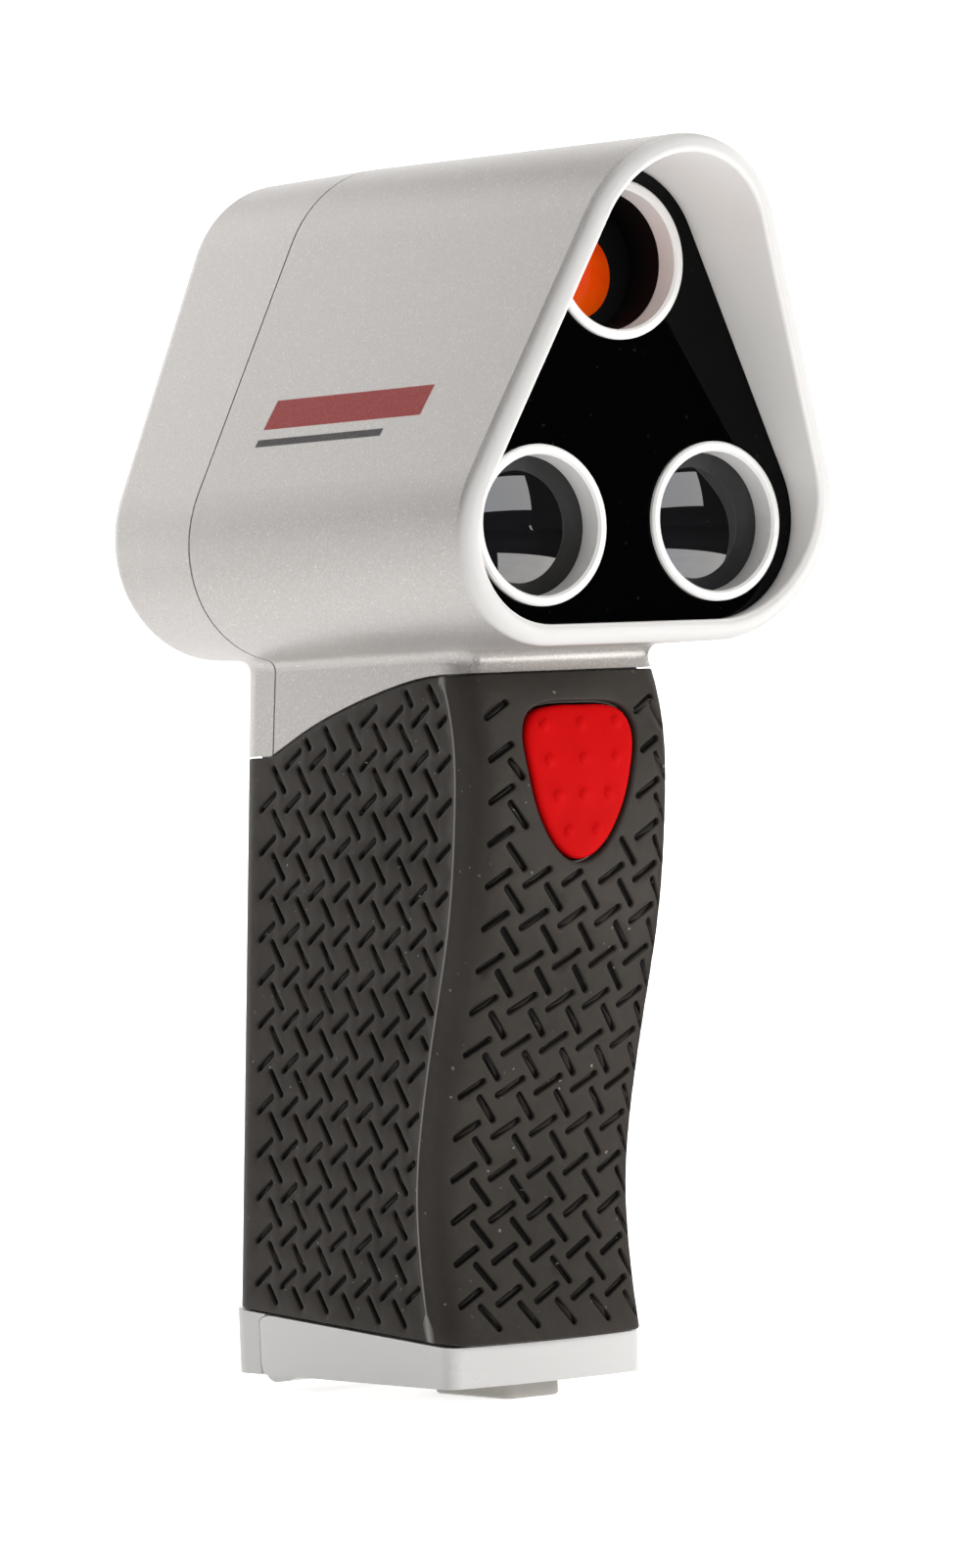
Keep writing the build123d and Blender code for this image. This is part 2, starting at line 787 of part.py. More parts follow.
def make_door():
    """Battery door: the white foot of the grip, with hinge ears and a latch slot."""
    door = base_block & below_slope(0.1)
    door = door - base_body(base_wall, base_bottom + base_floor, 16.0)
    door = door - box((-40, 40), (base_seam_y - 0.15, 90), (-5, 30))
    door = door - box((-13.2, 13.2), (38.7, 90), (-5, 30))
    ear_x = 18.0
    ear_start_y = 35.4
    ear = Polyline(
        (ear_start_y, 2.9),
        (39.2, 1.95),
        (hinge_y, hinge_z - knuckle_r),
        (hinge_y, 7.0),
        (ear_start_y, 7.0),
        close=True,
    )
    taper = extrude(Plane.YZ * make_face(ear), ear_x, both=True)
    ears = taper + cross_rod(hinge_y, hinge_z, (-ear_x, ear_x), knuckle_r)
    door = door + (ears - box((-13.2, 13.2), (0, 90), (-5, 30)))
    behind = box((-40, 40), (hinge_y, 90), (hinge_z, 40)) - cross_rod(hinge_y, hinge_z, (-50, 50), 6.9)
    under = box((-40, 40), (hinge_y, 90), (-9, hinge_z))
    under = under - cross_rod(hinge_y, hinge_z, (-50, 50), knuckle_r)
    door = door - behind - under
    door = door - box((-40, 40), (base_seam_y - 0.15, 90), (-5, 30))
    door = door - cross_rod(hinge_y, hinge_z, (-17.25, 17.25), 1.05)
    door = door - box((-2.65, 2.65), (3.85, 10.15 + latch_travel), (0, 8))
    return door + box((-4.5, 4.5), (22.2, 23.6), (5.0, 9.0))


def make_pin():
    return cross_rod(hinge_y, hinge_z, (-17.2, 17.2), 1.0)


def make_latch():
    """Sliding latch: finger block below the door, neck through it and tongue above it."""
    block = box((-5.25, 5.25), (-1.5, 18.5), (0, 2.62))
    block = fillet(block.edges().filter_by(Axis.Z), 1.8)
    block = fillet(block.faces().sort_by(Axis.Z)[0].edges(), 0.6)
    neck = box((-2.5, 2.5), (4, 10), (2.5, 5.3))
    tongue = box((-4.5, 4.5), (-0.4, 14), (5.16, 6.9))
    tongue = chamfer(tongue.faces().sort_by(Axis.Y)[0].edges().sort_by(Axis.Z)[0], 0.8)
    return block + neck + tongue + rod(0, 7.0, (12.4, 14.0), 1.2)


def make_pad():
    """Foam pad on the door that steadies the battery."""
    return box((-11, 11), (24.4, 31.4), (base_bottom + base_floor + 0.02, 10.55))


def make_screws():
    """Six housing screws as separate solids."""
    screws = []
    for across, height, seat, tip, _ in head_screws + grip_screws:
        for side in (-1, 1):
            x = side * across
            shank = rod(x, height, (tip, seat + 0.1), screw_r)
            head = rod(x, height, (seat + 0.02, seat + screw_head), screw_head_r)
            depth = (seat + 1.0, seat + 3)
            level_slot = box((x - 1.2, x + 1.2), depth, (height - 0.25, height + 0.25))
            upright_slot = box((x - 0.25, x + 0.25), depth, (height - 1.2, height + 1.2))
            screws.append(shank + head - level_slot - upright_slot)
    return Part() + screws


front_housing, rear_housing = make_housings()
pieces = {
    "front_housing": front_housing,
    "rear_housing": rear_housing,
    "lens_bezel": make_bezel(),
    "sight_ring": make_ring(0, sight_z),
    "emitter_ring": make_ring(-pair_x, pair_z),
    "receiver_ring": make_ring(pair_x, pair_z),
    "emitter_lens": make_lens(-pair_x, pair_z),
    "receiver_lens": make_lens(pair_x, pair_z),
    "emitter_barrel": make_barrel(-pair_x, pair_z),
    "receiver_barrel": make_barrel(pair_x, pair_z),
    "laser_diode": make_can(-pair_x, pair_z, 1.2),
    "photodiode": make_can(pair_x, pair_z, 2.6),
    "sight_tube": make_sight_tube(),
    "sight_filter": make_filter(),
    "eyepiece": make_eyepiece(),
    "eyepiece_glass": rod(0, sight_z, (52.02, 53.4), 8.95),
    "main_board": make_main_board(),
    "board_chips": make_board_chips(),
    "display_cable": make_display_cable(),
    "display_board": make_display_board(),
    "display_panel": make_display_panel(),
    "display_window": make_display_window(),
    "mode_button": make_mode_button(),
    "mode_switch": make_mode_switch(),
    "grip_sleeve": make_sleeve(),
    "trigger": make_trigger(),
    "trigger_spring": coil(3.0, 0.5, 6, -18.48, -7.42, 0, shield_z),
    "trigger_switch": make_trigger_switch(),
    "switch_board": make_switch_board(),
    "battery": make_battery(),
    "battery_cradle": make_cradle(),
    "battery_connector": make_connector(),
    "battery_leads": make_leads(),
    "battery_door": make_door(),
    "battery_pad": make_pad(),
    "hinge_pin": make_pin(),
    "door_latch": make_latch(),
    "latch_spring": coil(1.7, 0.4, 6, 14.02, 22.18, 0, 7.0),
    "housing_screws": make_screws(),
}

os.makedirs("parts", exist_ok=True)
for name, piece in pieces.items():
    export_step(piece, "parts/" + name + ".step")
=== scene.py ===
import json
import math

import bpy
import bmesh
import numpy as np
from mathutils import Matrix, Vector
from mathutils.bvhtree import BVHTree
from mathutils.geometry import delaunay_2d_cdt

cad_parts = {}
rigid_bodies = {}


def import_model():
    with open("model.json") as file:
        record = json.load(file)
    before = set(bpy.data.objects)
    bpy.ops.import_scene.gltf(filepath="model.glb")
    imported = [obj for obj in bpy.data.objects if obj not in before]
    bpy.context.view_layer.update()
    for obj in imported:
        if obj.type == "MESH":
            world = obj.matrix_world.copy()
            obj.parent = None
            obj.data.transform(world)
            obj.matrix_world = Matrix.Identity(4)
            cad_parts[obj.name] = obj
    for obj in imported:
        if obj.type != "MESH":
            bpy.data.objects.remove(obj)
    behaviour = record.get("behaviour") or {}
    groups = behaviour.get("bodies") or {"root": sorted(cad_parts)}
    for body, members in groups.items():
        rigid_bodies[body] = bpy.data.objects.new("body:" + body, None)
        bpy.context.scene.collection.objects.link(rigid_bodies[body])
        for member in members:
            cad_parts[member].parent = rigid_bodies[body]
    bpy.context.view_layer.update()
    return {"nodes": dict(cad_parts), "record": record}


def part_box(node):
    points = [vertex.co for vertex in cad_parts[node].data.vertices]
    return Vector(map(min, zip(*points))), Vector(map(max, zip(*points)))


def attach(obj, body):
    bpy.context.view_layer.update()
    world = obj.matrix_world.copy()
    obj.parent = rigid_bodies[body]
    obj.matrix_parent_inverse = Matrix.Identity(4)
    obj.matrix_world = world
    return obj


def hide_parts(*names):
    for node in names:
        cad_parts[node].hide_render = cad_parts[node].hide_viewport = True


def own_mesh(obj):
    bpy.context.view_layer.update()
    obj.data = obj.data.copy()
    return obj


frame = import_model()

MM = 0.001

# Camera, as turn, tilt and roll in degrees, then distance and side steps in millimetres
CAMERA_TURN = -35.572
CAMERA_TILT = 0.507
CAMERA_ROLL = -2.401
CAMERA_DISTANCE = 1128.06
CAMERA_RIGHT = 2.075
CAMERA_UP = -25.52
CAMERA_TARGET = (0.0, 5.5, 119.4)
CAMERA_LENS = 168.75

# Grip section, the same as the solid sleeve's
GRIP_HALF = 18.3
CORNER_ACROSS = 3.4
CORNER_DEEP = 6.76
CROWN = 90.0
REAR_ROUND = 5.0
KNEE = GRIP_HALF - CORNER_ACROSS
CORNER_LENGTH = 8.0
REAR_ARC = REAR_ROUND * math.pi / 2
EDGE_ROLL = 0.3
SLEEVE_DEEP = 1.9
OPENING_DEEP = 1.3
GRIP_MIDDLE = 60

# Meshing of the grip
GRIP_HEIGHTS = (8, 112)
SIDE_DEPTHS = (-16, 52)
SIDE_SPACING = 2.2
ROUND_SPACING = 1.7
HAIR = 0.012
MARGIN = 0.6
WELD = 0.02
SETTLING_ROUNDS = 30

# Tread slots, in two lengths that alternate
SLOT_HALF = 0.52
SLOT_DEPTH = 0.85
SLOT_LONG = 5.6
SLOT_SHORT = 5.4
SHORTEST_SLOT = 0.9
SLOT_CLEARANCE = 0.55
SLOT_RINGS = ((0.24, 0.0), (0.12, 0.04), (0.02, 0.2), (-0.05, 0.72), (-0.16, 0.85))
RING_POINTS = 14
FLASH_RISE = 0.1
SHIELD_POINTS = 72
OPENING_EDGE = ((0.55, 0.0), (0.25, 0.06), (0.06, 0.28), (0.0, 0.5))

# Top of the smooth foot and middle of the head, in metres
FOOT_TOP = 0.0128
HEAD_MIDDLE = 0.1454


# ---------------------------------------------------------------- materials


class Nodes:
    """A material's node tree with short calls to add and join nodes."""

    def __init__(self, name):
        self.material = bpy.data.materials.new(name)
        self.material.use_nodes = True
        self.tree = self.material.node_tree
        self.shader = self.tree.nodes["Principled BSDF"]
        self.place = None

    def add(self, kind, **values):
        node = self.tree.nodes.new(kind)
        for key, value in values.items():
            if hasattr(node, key):
                setattr(node, key, value)
            else:
                self.put(value, node.inputs[key.replace("_", " ")])
        return node

    def put(self, value, socket):
        if isinstance(value, bpy.types.NodeSocket):
            self.tree.links.new(value, socket)
        else:
            socket.default_value = value

    def where(self):
        """Coordinates in metres in the part's own frame."""
        if self.place is None:
            self.place = self.add("ShaderNodeTexCoord").outputs["Object"]
        return self.place

    def math(self, operation, a, b=0.0, c=0.0):
        node = self.tree.nodes.new("ShaderNodeMath")
        node.operation = operation
        for value, socket in zip((a, b, c), node.inputs):
            self.put(value, socket)
        return node.outputs[0]

    def noise(self, scale, detail=2.0, roughness=0.5, stretch=None):
        place = self.where()
        if stretch:
            place = self.stretched(stretch)
        node = self.add("ShaderNodeTexNoise", Vector=place, Scale=scale, Detail=detail, Roughness=roughness)
        return node.outputs[0]

    def stretched(self, by):
        node = self.tree.nodes.new("ShaderNodeVectorMath")
        node.operation = "MULTIPLY"
        self.put(self.where(), node.inputs[0])
        node.inputs[1].default_value = by
        return node.outputs[0]

    def cells(self, scale):
        """One random grey for each small cell."""
        node = self.add("ShaderNodeTexVoronoi", Vector=self.where(), Scale=scale)
        split = self.tree.nodes.new("ShaderNodeSeparateColor")
        self.put(node.outputs["Color"], split.inputs[0])
        return split.outputs[0]

    def span(self, value, low, high, to_low=0.0, to_high=1.0):
        node = self.tree.nodes.new("ShaderNodeMapRange")
        for v, key in ((value, 0), (low, 1), (high, 2), (to_low, 3), (to_high, 4)):
            self.put(v, node.inputs[key])
        return node.outputs[0]

    def mix(self, share, a, b):
        node = self.tree.nodes.new("ShaderNodeMix")
        node.data_type = "RGBA"
        self.put(share, node.inputs[0])
        for value, key in ((a, 6), (b, 7)):
            if isinstance(value, tuple) and len(value) == 3:
                value = (*value, 1.0)
            self.put(value, node.inputs[key])
        return node.outputs[2]

    def bump(self, height, distance, strength=1.0, below=None):
        node = self.tree.nodes.new("ShaderNodeBump")
        self.put(strength, node.inputs["Strength"])
        self.put(distance, node.inputs["Distance"])
        self.put(height, node.inputs["Height"])
        if below is not None:
            self.put(below, node.inputs["Normal"])
        return node.outputs[0]

    def set(self, **values):
        for key, value in values.items():
            if isinstance(value, tuple) and len(value) == 3 and "Color" in key:
                value = (*value, 1.0)
            self.put(value, self.shader.inputs[key.replace("_", " ")])
        return self.material

    def axis(self, which):
        split = self.add("ShaderNodeSeparateXYZ", Vector=self.where())
        return split.outputs[which]

    def attribute(self, name):
        node = self.tree.nodes.new("ShaderNodeAttribute")
        node.attribute_name = name
        return node.outputs["Fac"]


def band(nodes, value, low, high, soft):
    """One between two limits and nought outside them."""
    rise = nodes.span(value, low - soft, low + soft)
    fall = nodes.span(value, high - soft, high + soft, 1.0, 0.0)
    return nodes.math("MULTIPLY", rise, fall)


def side_graphic(nodes):
    """Plain printed bars on both sides of the head: masks for the red and the dark ink."""
    slant, level, edge = 0.35, 0.150, 0.00006
    front_red, front_dark, rear = -0.0235, -0.0155, 0.0175
    z = nodes.axis(2)
    lean = nodes.math("MULTIPLY", nodes.math("SUBTRACT", z, level), slant)
    slanted = nodes.math("ADD", nodes.axis(1), lean)
    red_height = band(nodes, z, 0.1492, 0.1536, edge)
    dark_height = band(nodes, z, 0.1466, 0.1477, edge)
    red = nodes.math("MULTIPLY", band(nodes, slanted, front_red, rear, edge), red_height)
    dark = nodes.math("MULTIPLY", band(nodes, slanted, front_dark, rear, edge), dark_height)
    return red, dark


def rim_highlight_share(nodes):
    """Where a highlight is painted: one on the smooth rim round the hood's mouth, and nought elsewhere."""
    rim_y, rim_z, rake, width, blend = -0.04106, 0.13283, 0.259, 0.0017, 0.0007
    lean = nodes.math("MULTIPLY", nodes.math("SUBTRACT", nodes.axis(2), rim_z), rake)
    behind = nodes.math("SUBTRACT", nodes.math("ADD", nodes.axis(1), lean), rim_y)
    return nodes.span(behind, width - blend, width + blend, 1.0, 0.0)


def foot_share(nodes):
    """One on the smooth foot below the sleeve."""
    return nodes.math("LESS_THAN", nodes.axis(2), FOOT_TOP)


def hood_light_share(nodes):
    """Where light is painted: one on the inner wall of the hood, whose faces look towards the head's middle.
    """
    hood_back = -0.0335
    facing = nodes.add("ShaderNodeSeparateXYZ", Vector=nodes.add("ShaderNodeTexCoord").outputs["Normal"])
    across = nodes.math("MULTIPLY", facing.outputs[0], nodes.axis(0))
    height = nodes.math("SUBTRACT", nodes.axis(2), HEAD_MIDDLE)
    outward = nodes.math("ADD", across, nodes.math("MULTIPLY", facing.outputs[2], height))
    in_front = nodes.math("LESS_THAN", nodes.axis(1), hood_back)
    forward = nodes.math("ABSOLUTE", facing.outputs[1])
    wall = nodes.math("MULTIPLY", in_front, nodes.span(forward, 0.75, 0.92, 1.0, 0.0))
    return nodes.math("MULTIPLY", wall, nodes.span(outward, -0.004, -0.001, 1.0, 0.0))


def pearl_silver():
    """Satin pearl silver with a fine fleck, a painted highlight on the smooth rim, painted light on the
    hood's inner wall and the printed bars.
    """
    n = Nodes("pearl_silver")
    fleck = n.cells(4600)
    fine = n.noise(6500, 2)
    soft = n.noise(30, 3)
    base = n.mix(n.span(fleck, 0.05, 0.95), (0.39, 0.368, 0.350), (0.49, 0.466, 0.446))
    base = n.mix(n.span(fleck, 0.93, 1.0, 0.0, 0.35), base, (0.92, 0.90, 0.88))
    base = n.mix(n.span(soft, 0.3, 0.7, 0.0, 0.15), base, (0.50, 0.48, 0.465))
    rim = rim_highlight_share(n)
    foot = foot_share(n)
    # Painted highlight: the smooth rim is coloured lighter than the flank.
    base = n.mix(rim, base, (0.62, 0.61, 0.595))
    base = n.mix(foot, base, (0.58, 0.57, 0.555))
    # Painted light: the hood's inner wall is coloured lighter, as if lit, and made less metallic.
    inside = hood_light_share(n)
    base = n.mix(inside, base, (0.84, 0.82, 0.80))
    red, dark = side_graphic(n)
    ink = n.span(fine, 0.3, 0.5, 0.75, 1.0)
    base = n.mix(n.math("MULTIPLY", red, ink), base, (0.30, 0.010, 0.007))
    base = n.mix(n.math("MULTIPLY", dark, ink), base, (0.035, 0.03, 0.03))
    plain = n.math("MAXIMUM", n.math("MAXIMUM", rim, foot), n.math("MAXIMUM", red, dark))
    matt = n.math("SUBTRACT", 1.0, plain)
    metal = n.math("MULTIPLY", matt, n.span(inside, 0.0, 1.0, 0.5, 0.0))
    rough = n.span(fleck, 0.0, 1.0, 0.36, 0.5)
    normal = n.bump(fleck, 0.000016, n.math("MULTIPLY", matt, 0.5))
    gloss = n.span(plain, 0.0, 1.0, 0.5, 0.15)
    return n.set(Base_Color=base, Roughness=rough, Metallic=metal, Specular_IOR_Level=gloss, Normal=normal)


def smooth_white(name, tint, rough, foot_tint=None):
    """White moulding with barely uneven gloss, in its own tint on the foot if one is given."""
    n = Nodes(name)
    cloud = n.noise(60, 3)
    grain = n.noise(5000, 2)
    base = n.mix(n.span(cloud, 0.35, 0.65, 0.0, 0.35), tint, tuple(c * 0.95 for c in tint))
    if foot_tint:
        base = n.mix(foot_share(n), base, foot_tint)
    normal = n.bump(grain, 0.000012, 0.3)
    gloss = n.span(cloud, 0.3, 0.7, rough - 0.04, rough + 0.05)
    return n.set(Base_Color=base, Roughness=gloss, Normal=normal)


def piano_black():
    """Deep gloss black panel with a trace of dust."""
    n = Nodes("piano_black")
    dust = n.cells(2600)
    base = n.mix(n.span(dust, 0.996, 1.0, 0.0, 0.2), (0.0006, 0.0006, 0.0007), (0.04, 0.04, 0.04))
    rough = n.span(n.noise(70, 4), 0.3, 0.7, 0.03, 0.07)
    return n.set(Base_Color=base, Roughness=rough, IOR=1.2)


def coated_lens():
    """Dark coated glass with a faint warm and cool bloom."""
    n = Nodes("coated_lens")
    bloom = n.noise(55, 1)
    base = n.mix(n.span(bloom, 0.35, 0.65), (0.003, 0.003, 0.003), (0.006, 0.006, 0.007))
    tint = n.mix(n.span(bloom, 0.3, 0.7), (0.95, 0.93, 0.9), (0.88, 0.9, 0.95))
    return n.set(Base_Color=base, Roughness=0.02, Specular_Tint=tint, IOR=1.6)


def orange_filter():
    """Orange coating with a painted glow, and painted light and shade by height: lighter towards its lower
    edge, deeper towards its upper edge.
    """
    n = Nodes("orange_filter")
    z = n.axis(2)
    # Painted light and shade: the colour is lighter low on the disc and deeper high on it.
    painted_height_shade = n.span(z, 0.1615, 0.1740)
    cloud = n.noise(220, 2)
    base = n.mix(painted_height_shade, (0.86, 0.085, 0.001), (0.74, 0.032, 0.001))
    base = n.mix(n.span(cloud, 0.35, 0.7, 0.0, 0.35), base, (0.90, 0.15, 0.003))
    # Painted glow: the coating gives off a little light in its own colour.
    n.shader.inputs["Emission Strength"].default_value = 0.12
    return n.set(Base_Color=base, Emission_Color=base, Roughness=n.span(cloud, 0.3, 0.7, 0.08, 0.14), IOR=1.4)


def fine_black(name, tint=(0.0035, 0.0035, 0.0038), rough=0.55, grain=3000):
    """Matt black moulding with an even spark-eroded grain."""
    n = Nodes(name)
    speck = n.noise(grain, 3)
    base = n.mix(n.span(speck, 0.35, 0.65), tint, tuple(c * 1.6 for c in tint))
    normal = n.bump(speck, 0.00004, 0.4)
    gloss = n.span(speck, 0.3, 0.7, rough - 0.06, rough + 0.08)
    return n.set(Base_Color=base, Roughness=gloss, Specular_IOR_Level=0.08, Normal=normal)


def grip_rubber():
    """Charcoal rubber: satin lands, painted shade in the slot floors, a painted highlight along the flash
    line and tiny dust.
    """
    n = Nodes("grip_rubber")
    cloud = n.noise(45, 4)
    mottle = n.noise(420, 4, 0.6)
    grain = n.noise(3600, 3)
    base = n.mix(n.span(cloud, 0.3, 0.7), (0.032, 0.0275, 0.0237), (0.044, 0.038, 0.033))
    base = n.mix(n.span(mottle, 0.45, 0.75, 0.0, 0.35), base, (0.052, 0.046, 0.040))
    # Painted shade: the slot walls and floors darken with their depth.
    base = n.mix(n.attribute("painted_slot_shade"), base, (0.006, 0.0055, 0.005))
    # Painted highlight: a pale line along the flash ridge.
    base = n.mix(n.attribute("flash"), base, (0.26, 0.25, 0.235))
    dust = n.span(n.cells(2600), 0.9975, 1.0, 0.0, 0.6)
    base = n.mix(dust, base, (0.28, 0.27, 0.25))
    rough = n.span(mottle, 0.3, 0.75, 0.38, 0.5)
    normal = n.bump(grain, 0.00002, 0.3, n.bump(mottle, 0.00006, 0.2))
    return n.set(Base_Color=base, Roughness=rough, Specular_IOR_Level=0.06, Normal=normal)


def trigger_red():
    """Soft-touch saturated red."""
    n = Nodes("trigger_red")
    cloud = n.noise(120, 3)
    grain = n.noise(4200, 2)
    base = n.mix(n.span(cloud, 0.3, 0.7), (0.45, 0.0015, 0.002), (0.50, 0.002, 0.0025))
    rough = n.span(grain, 0.3, 0.7, 0.52, 0.62)
    normal = n.bump(grain, 0.00002, 0.3)
    return n.set(Base_Color=base, Roughness=rough, Specular_IOR_Level=0.03, Normal=normal)


def bare_metal(name, tint, rough, stretch=(1, 60, 1)):
    """Drawn or stamped metal with fine lines."""
    n = Nodes(name)
    line = n.noise(90, 3, 0.5, stretch)
    base = n.mix(n.span(line, 0.3, 0.7), tint, tuple(c * 0.8 for c in tint))
    return n.set(Base_Color=base, Metallic=1.0, Roughness=n.span(line, 0.3, 0.7, rough, rough + 0.14))


def circuit_board():
    """Green solder mask with copper tracks and tinned pads."""
    n = Nodes("circuit_board")
    track = n.add("ShaderNodeTexBrick", Vector=n.where(), Scale=420.0)
    lines = n.span(track.outputs["Fac"], 0.2, 0.8)
    cloud = n.noise(300, 2)
    base = n.mix(lines, (0.008, 0.085, 0.035), (0.02, 0.16, 0.06))
    pads = n.span(n.cells(460), 0.90, 0.92)
    base = n.mix(pads, base, (0.55, 0.53, 0.48))
    metal = n.math("MULTIPLY", pads, 0.8)
    return n.set(Base_Color=base, Metallic=metal, Roughness=n.span(cloud, 0.3, 0.7, 0.28, 0.4))


def clear_window():
    """Flat clear window, barely tinted."""
    n = Nodes("clear_window")
    smear = n.noise(80, 3)
    rough = n.span(smear, 0.4, 0.8, 0.02, 0.09)
    return n.set(Base_Color=(0.9, 0.93, 0.93), Roughness=rough, Transmission_Weight=0.95, IOR=1.49)


def display_face():
    """Grey-green liquid crystal with a fine cell grid, showing no figures."""
    n = Nodes("display_face")
    grid = n.add("ShaderNodeTexBrick", Vector=n.where(), Scale=1500.0)
    base = n.mix(n.span(grid.outputs["Fac"], 0.0, 1.0, 0.0, 0.25), (0.20, 0.235, 0.17), (0.11, 0.13, 0.10))
    return n.set(Base_Color=base, Roughness=n.span(n.noise(90), 0.3, 0.7, 0.22, 0.3))


def plain_wrap():
    """Battery sleeve in two plain tones with a satin film."""
    n = Nodes("plain_wrap")
    z = n.axis(2)
    split = n.span(z, 0.0435, 0.0437)
    scuff = n.noise(500, 4)
    base = n.mix(split, (0.02, 0.02, 0.024), (0.45, 0.27, 0.10))
    base = n.mix(n.span(scuff, 0.6, 0.8, 0.0, 0.3), base, (0.3, 0.3, 0.3))
    return n.set(Base_Color=base, Metallic=0.4, Roughness=n.span(scuff, 0.3, 0.7, 0.25, 0.38))


def soft_foam():
    """Closed cell foam."""
    n = Nodes("soft_foam")
    pores = n.cells(1800)
    base = n.mix(pores, (0.10, 0.10, 0.105), (0.17, 0.17, 0.175))
    return n.set(Base_Color=base, Roughness=0.95, Normal=n.bump(pores, 0.0002, 0.6))


def coloured_skin(name, tint, rough):
    """Thin even plastic such as wire insulation or film."""
    n = Nodes(name)
    cloud = n.noise(400, 3)
    base = n.mix(n.span(cloud, 0.3, 0.7), tint, tuple(c * 0.8 for c in tint))
    return n.set(Base_Color=base, Roughness=n.span(cloud, 0.3, 0.7, rough - 0.05, rough + 0.05))


def studio_paper(strength):
    """Pale backdrop that stays even and bright."""
    n = Nodes("studio_paper")
    fibre = n.noise(30, 2)
    base = n.mix(n.span(fibre, 0.3, 0.7), (0.90, 0.90, 0.90), (0.92, 0.92, 0.92))
    n.shader.inputs["Emission Strength"].default_value = strength
    return n.set(Base_Color=base, Emission_Color=(1.0, 1.0, 1.0), Roughness=0.9, Specular_IOR_Level=0.05)


LOOKS = {
    "housing_silver": pearl_silver(),
    "trim_white": smooth_white("trim_white", (0.86, 0.85, 0.83), 0.3, (0.60, 0.59, 0.575)),
    "bezel_black": piano_black(),
    "lens_dark": coated_lens(),
    "filter_orange": orange_filter(),
    "black_plastic": fine_black("black_plastic"),
    "window_clear": clear_window(),
    "grip_rubber": grip_rubber(),
    "trigger_red": trigger_red(),
    "latch_grey": smooth_white("latch_grey", (0.37, 0.348, 0.32), 0.42),
    "board_green": circuit_board(),
    "chip_black": fine_black("chip_black", (0.012, 0.012, 0.013), 0.42, 6000),
    "metal_can": bare_metal("metal_can", (0.72, 0.70, 0.66), 0.24),
    "spring_steel": bare_metal("spring_steel", (0.60, 0.60, 0.62), 0.22, (30, 30, 1)),
    "switch_black": fine_black("switch_black", (0.02, 0.02, 0.02), 0.46, 5000),
    "display_grey": display_face(),
    "cable_film": coloured_skin("cable_film", (0.50, 0.20, 0.03), 0.3),
    "battery_wrap": plain_wrap(),
    "lead_insulation": coloured_skin("lead_insulation", (0.45, 0.02, 0.02), 0.4),
    "foam_grey": soft_foam(),
    "screw_steel": bare_metal("screw_steel", (0.58, 0.58, 0.60), 0.3, (40, 1, 40)),
}


def dress_solids():
    """Gives every carried-over solid its detailed material."""
    slots = {row["node"]: row["material_slot"] for row in frame["record"]["subparts"]}
    for name, node in frame["nodes"].items():
        node.data.materials.clear()
        node.data.materials.append(LOOKS[slots[name]])


# ------------------------------------------------------------- grip surface


def solid_tree(name):
    """Search tree of a solid, in millimetres."""
    mesh = frame["nodes"][name].data
    points = [v.co / MM for v in mesh.vertices]
    return BVHTree.FromPolygons(points, [tuple(p.vertices) for p in mesh.polygons])


SLEEVE = solid_tree("grip_sleeve")


def crown_drop(x):
    """How far the crowned front falls back at a distance from its middle."""
    return CROWN - np.sqrt(CROWN**2 - np.square(x))


def read_front_line():
    """Smooth curve of the grip's front centre line, read off the solid sleeve."""
    probe = 13.0
    heights = np.linspace(9.6, 110.2, 60)
    found = []
    for z in heights:
        hit = SLEEVE.ray_cast(Vector((probe, -100, z)), Vector((0, 1, 0)))[0]
        found.append(hit.y - float(crown_drop(probe)))
    return np.polynomial.Chebyshev.fit(heights, found, 12)


def read_rear_line():
    """Straight rear line of the grip as a slope and a start."""
    low_z, high_z = 20, 90
    forward = Vector((0, -1, 0))
    low, high = (SLEEVE.ray_cast(Vector((0, 120, z)), forward)[0].y for z in (low_z, high_z))
    slope = (high - low) / (high_z - low_z)
    return slope, low - slope * low_z


def read_edge(first, last, from_z, direction):
    """Height of the sleeve's top or bottom edge at each depth along its side wall, as two lists."""
    depths = np.arange(first, last, 0.5)
    ray = Vector((0, 0, direction))
    starts = [Vector((GRIP_HALF - 1.0, y, from_z)) for y in depths]
    return depths, np.array([SLEEVE.ray_cast(start, ray)[0].z for start in starts])


FRONT_LINE = read_front_line()
REAR_SLOPE, REAR_START = read_rear_line()
TOP_Y, TOP_Z = read_edge(-10.5, 42.0, 200, -1)
BOTTOM_FIT = np.polyfit(*read_edge(3.0, 46.0, -50, 1), 1)


def rear_y(z):
    """Depth of the back at a height."""
    return REAR_START + REAR_SLOPE * np.asarray(z, float)


def flash_y(z):
    """Depth of the line where the flat side meets the rounded front corner."""
    return FRONT_LINE(np.asarray(z, float)) + crown_drop(KNEE) + CORNER_DEEP


def top_z(y):
    """Height where the sleeve's skin ends at the top, below its rolled edge."""
    return np.interp(y, TOP_Y, TOP_Z) - EDGE_ROLL


def bottom_z(y):
    """Height where the sleeve's skin ends at the bottom, above its rolled edge."""
    return np.polyval(BOTTOM_FIT, y) + EDGE_ROLL


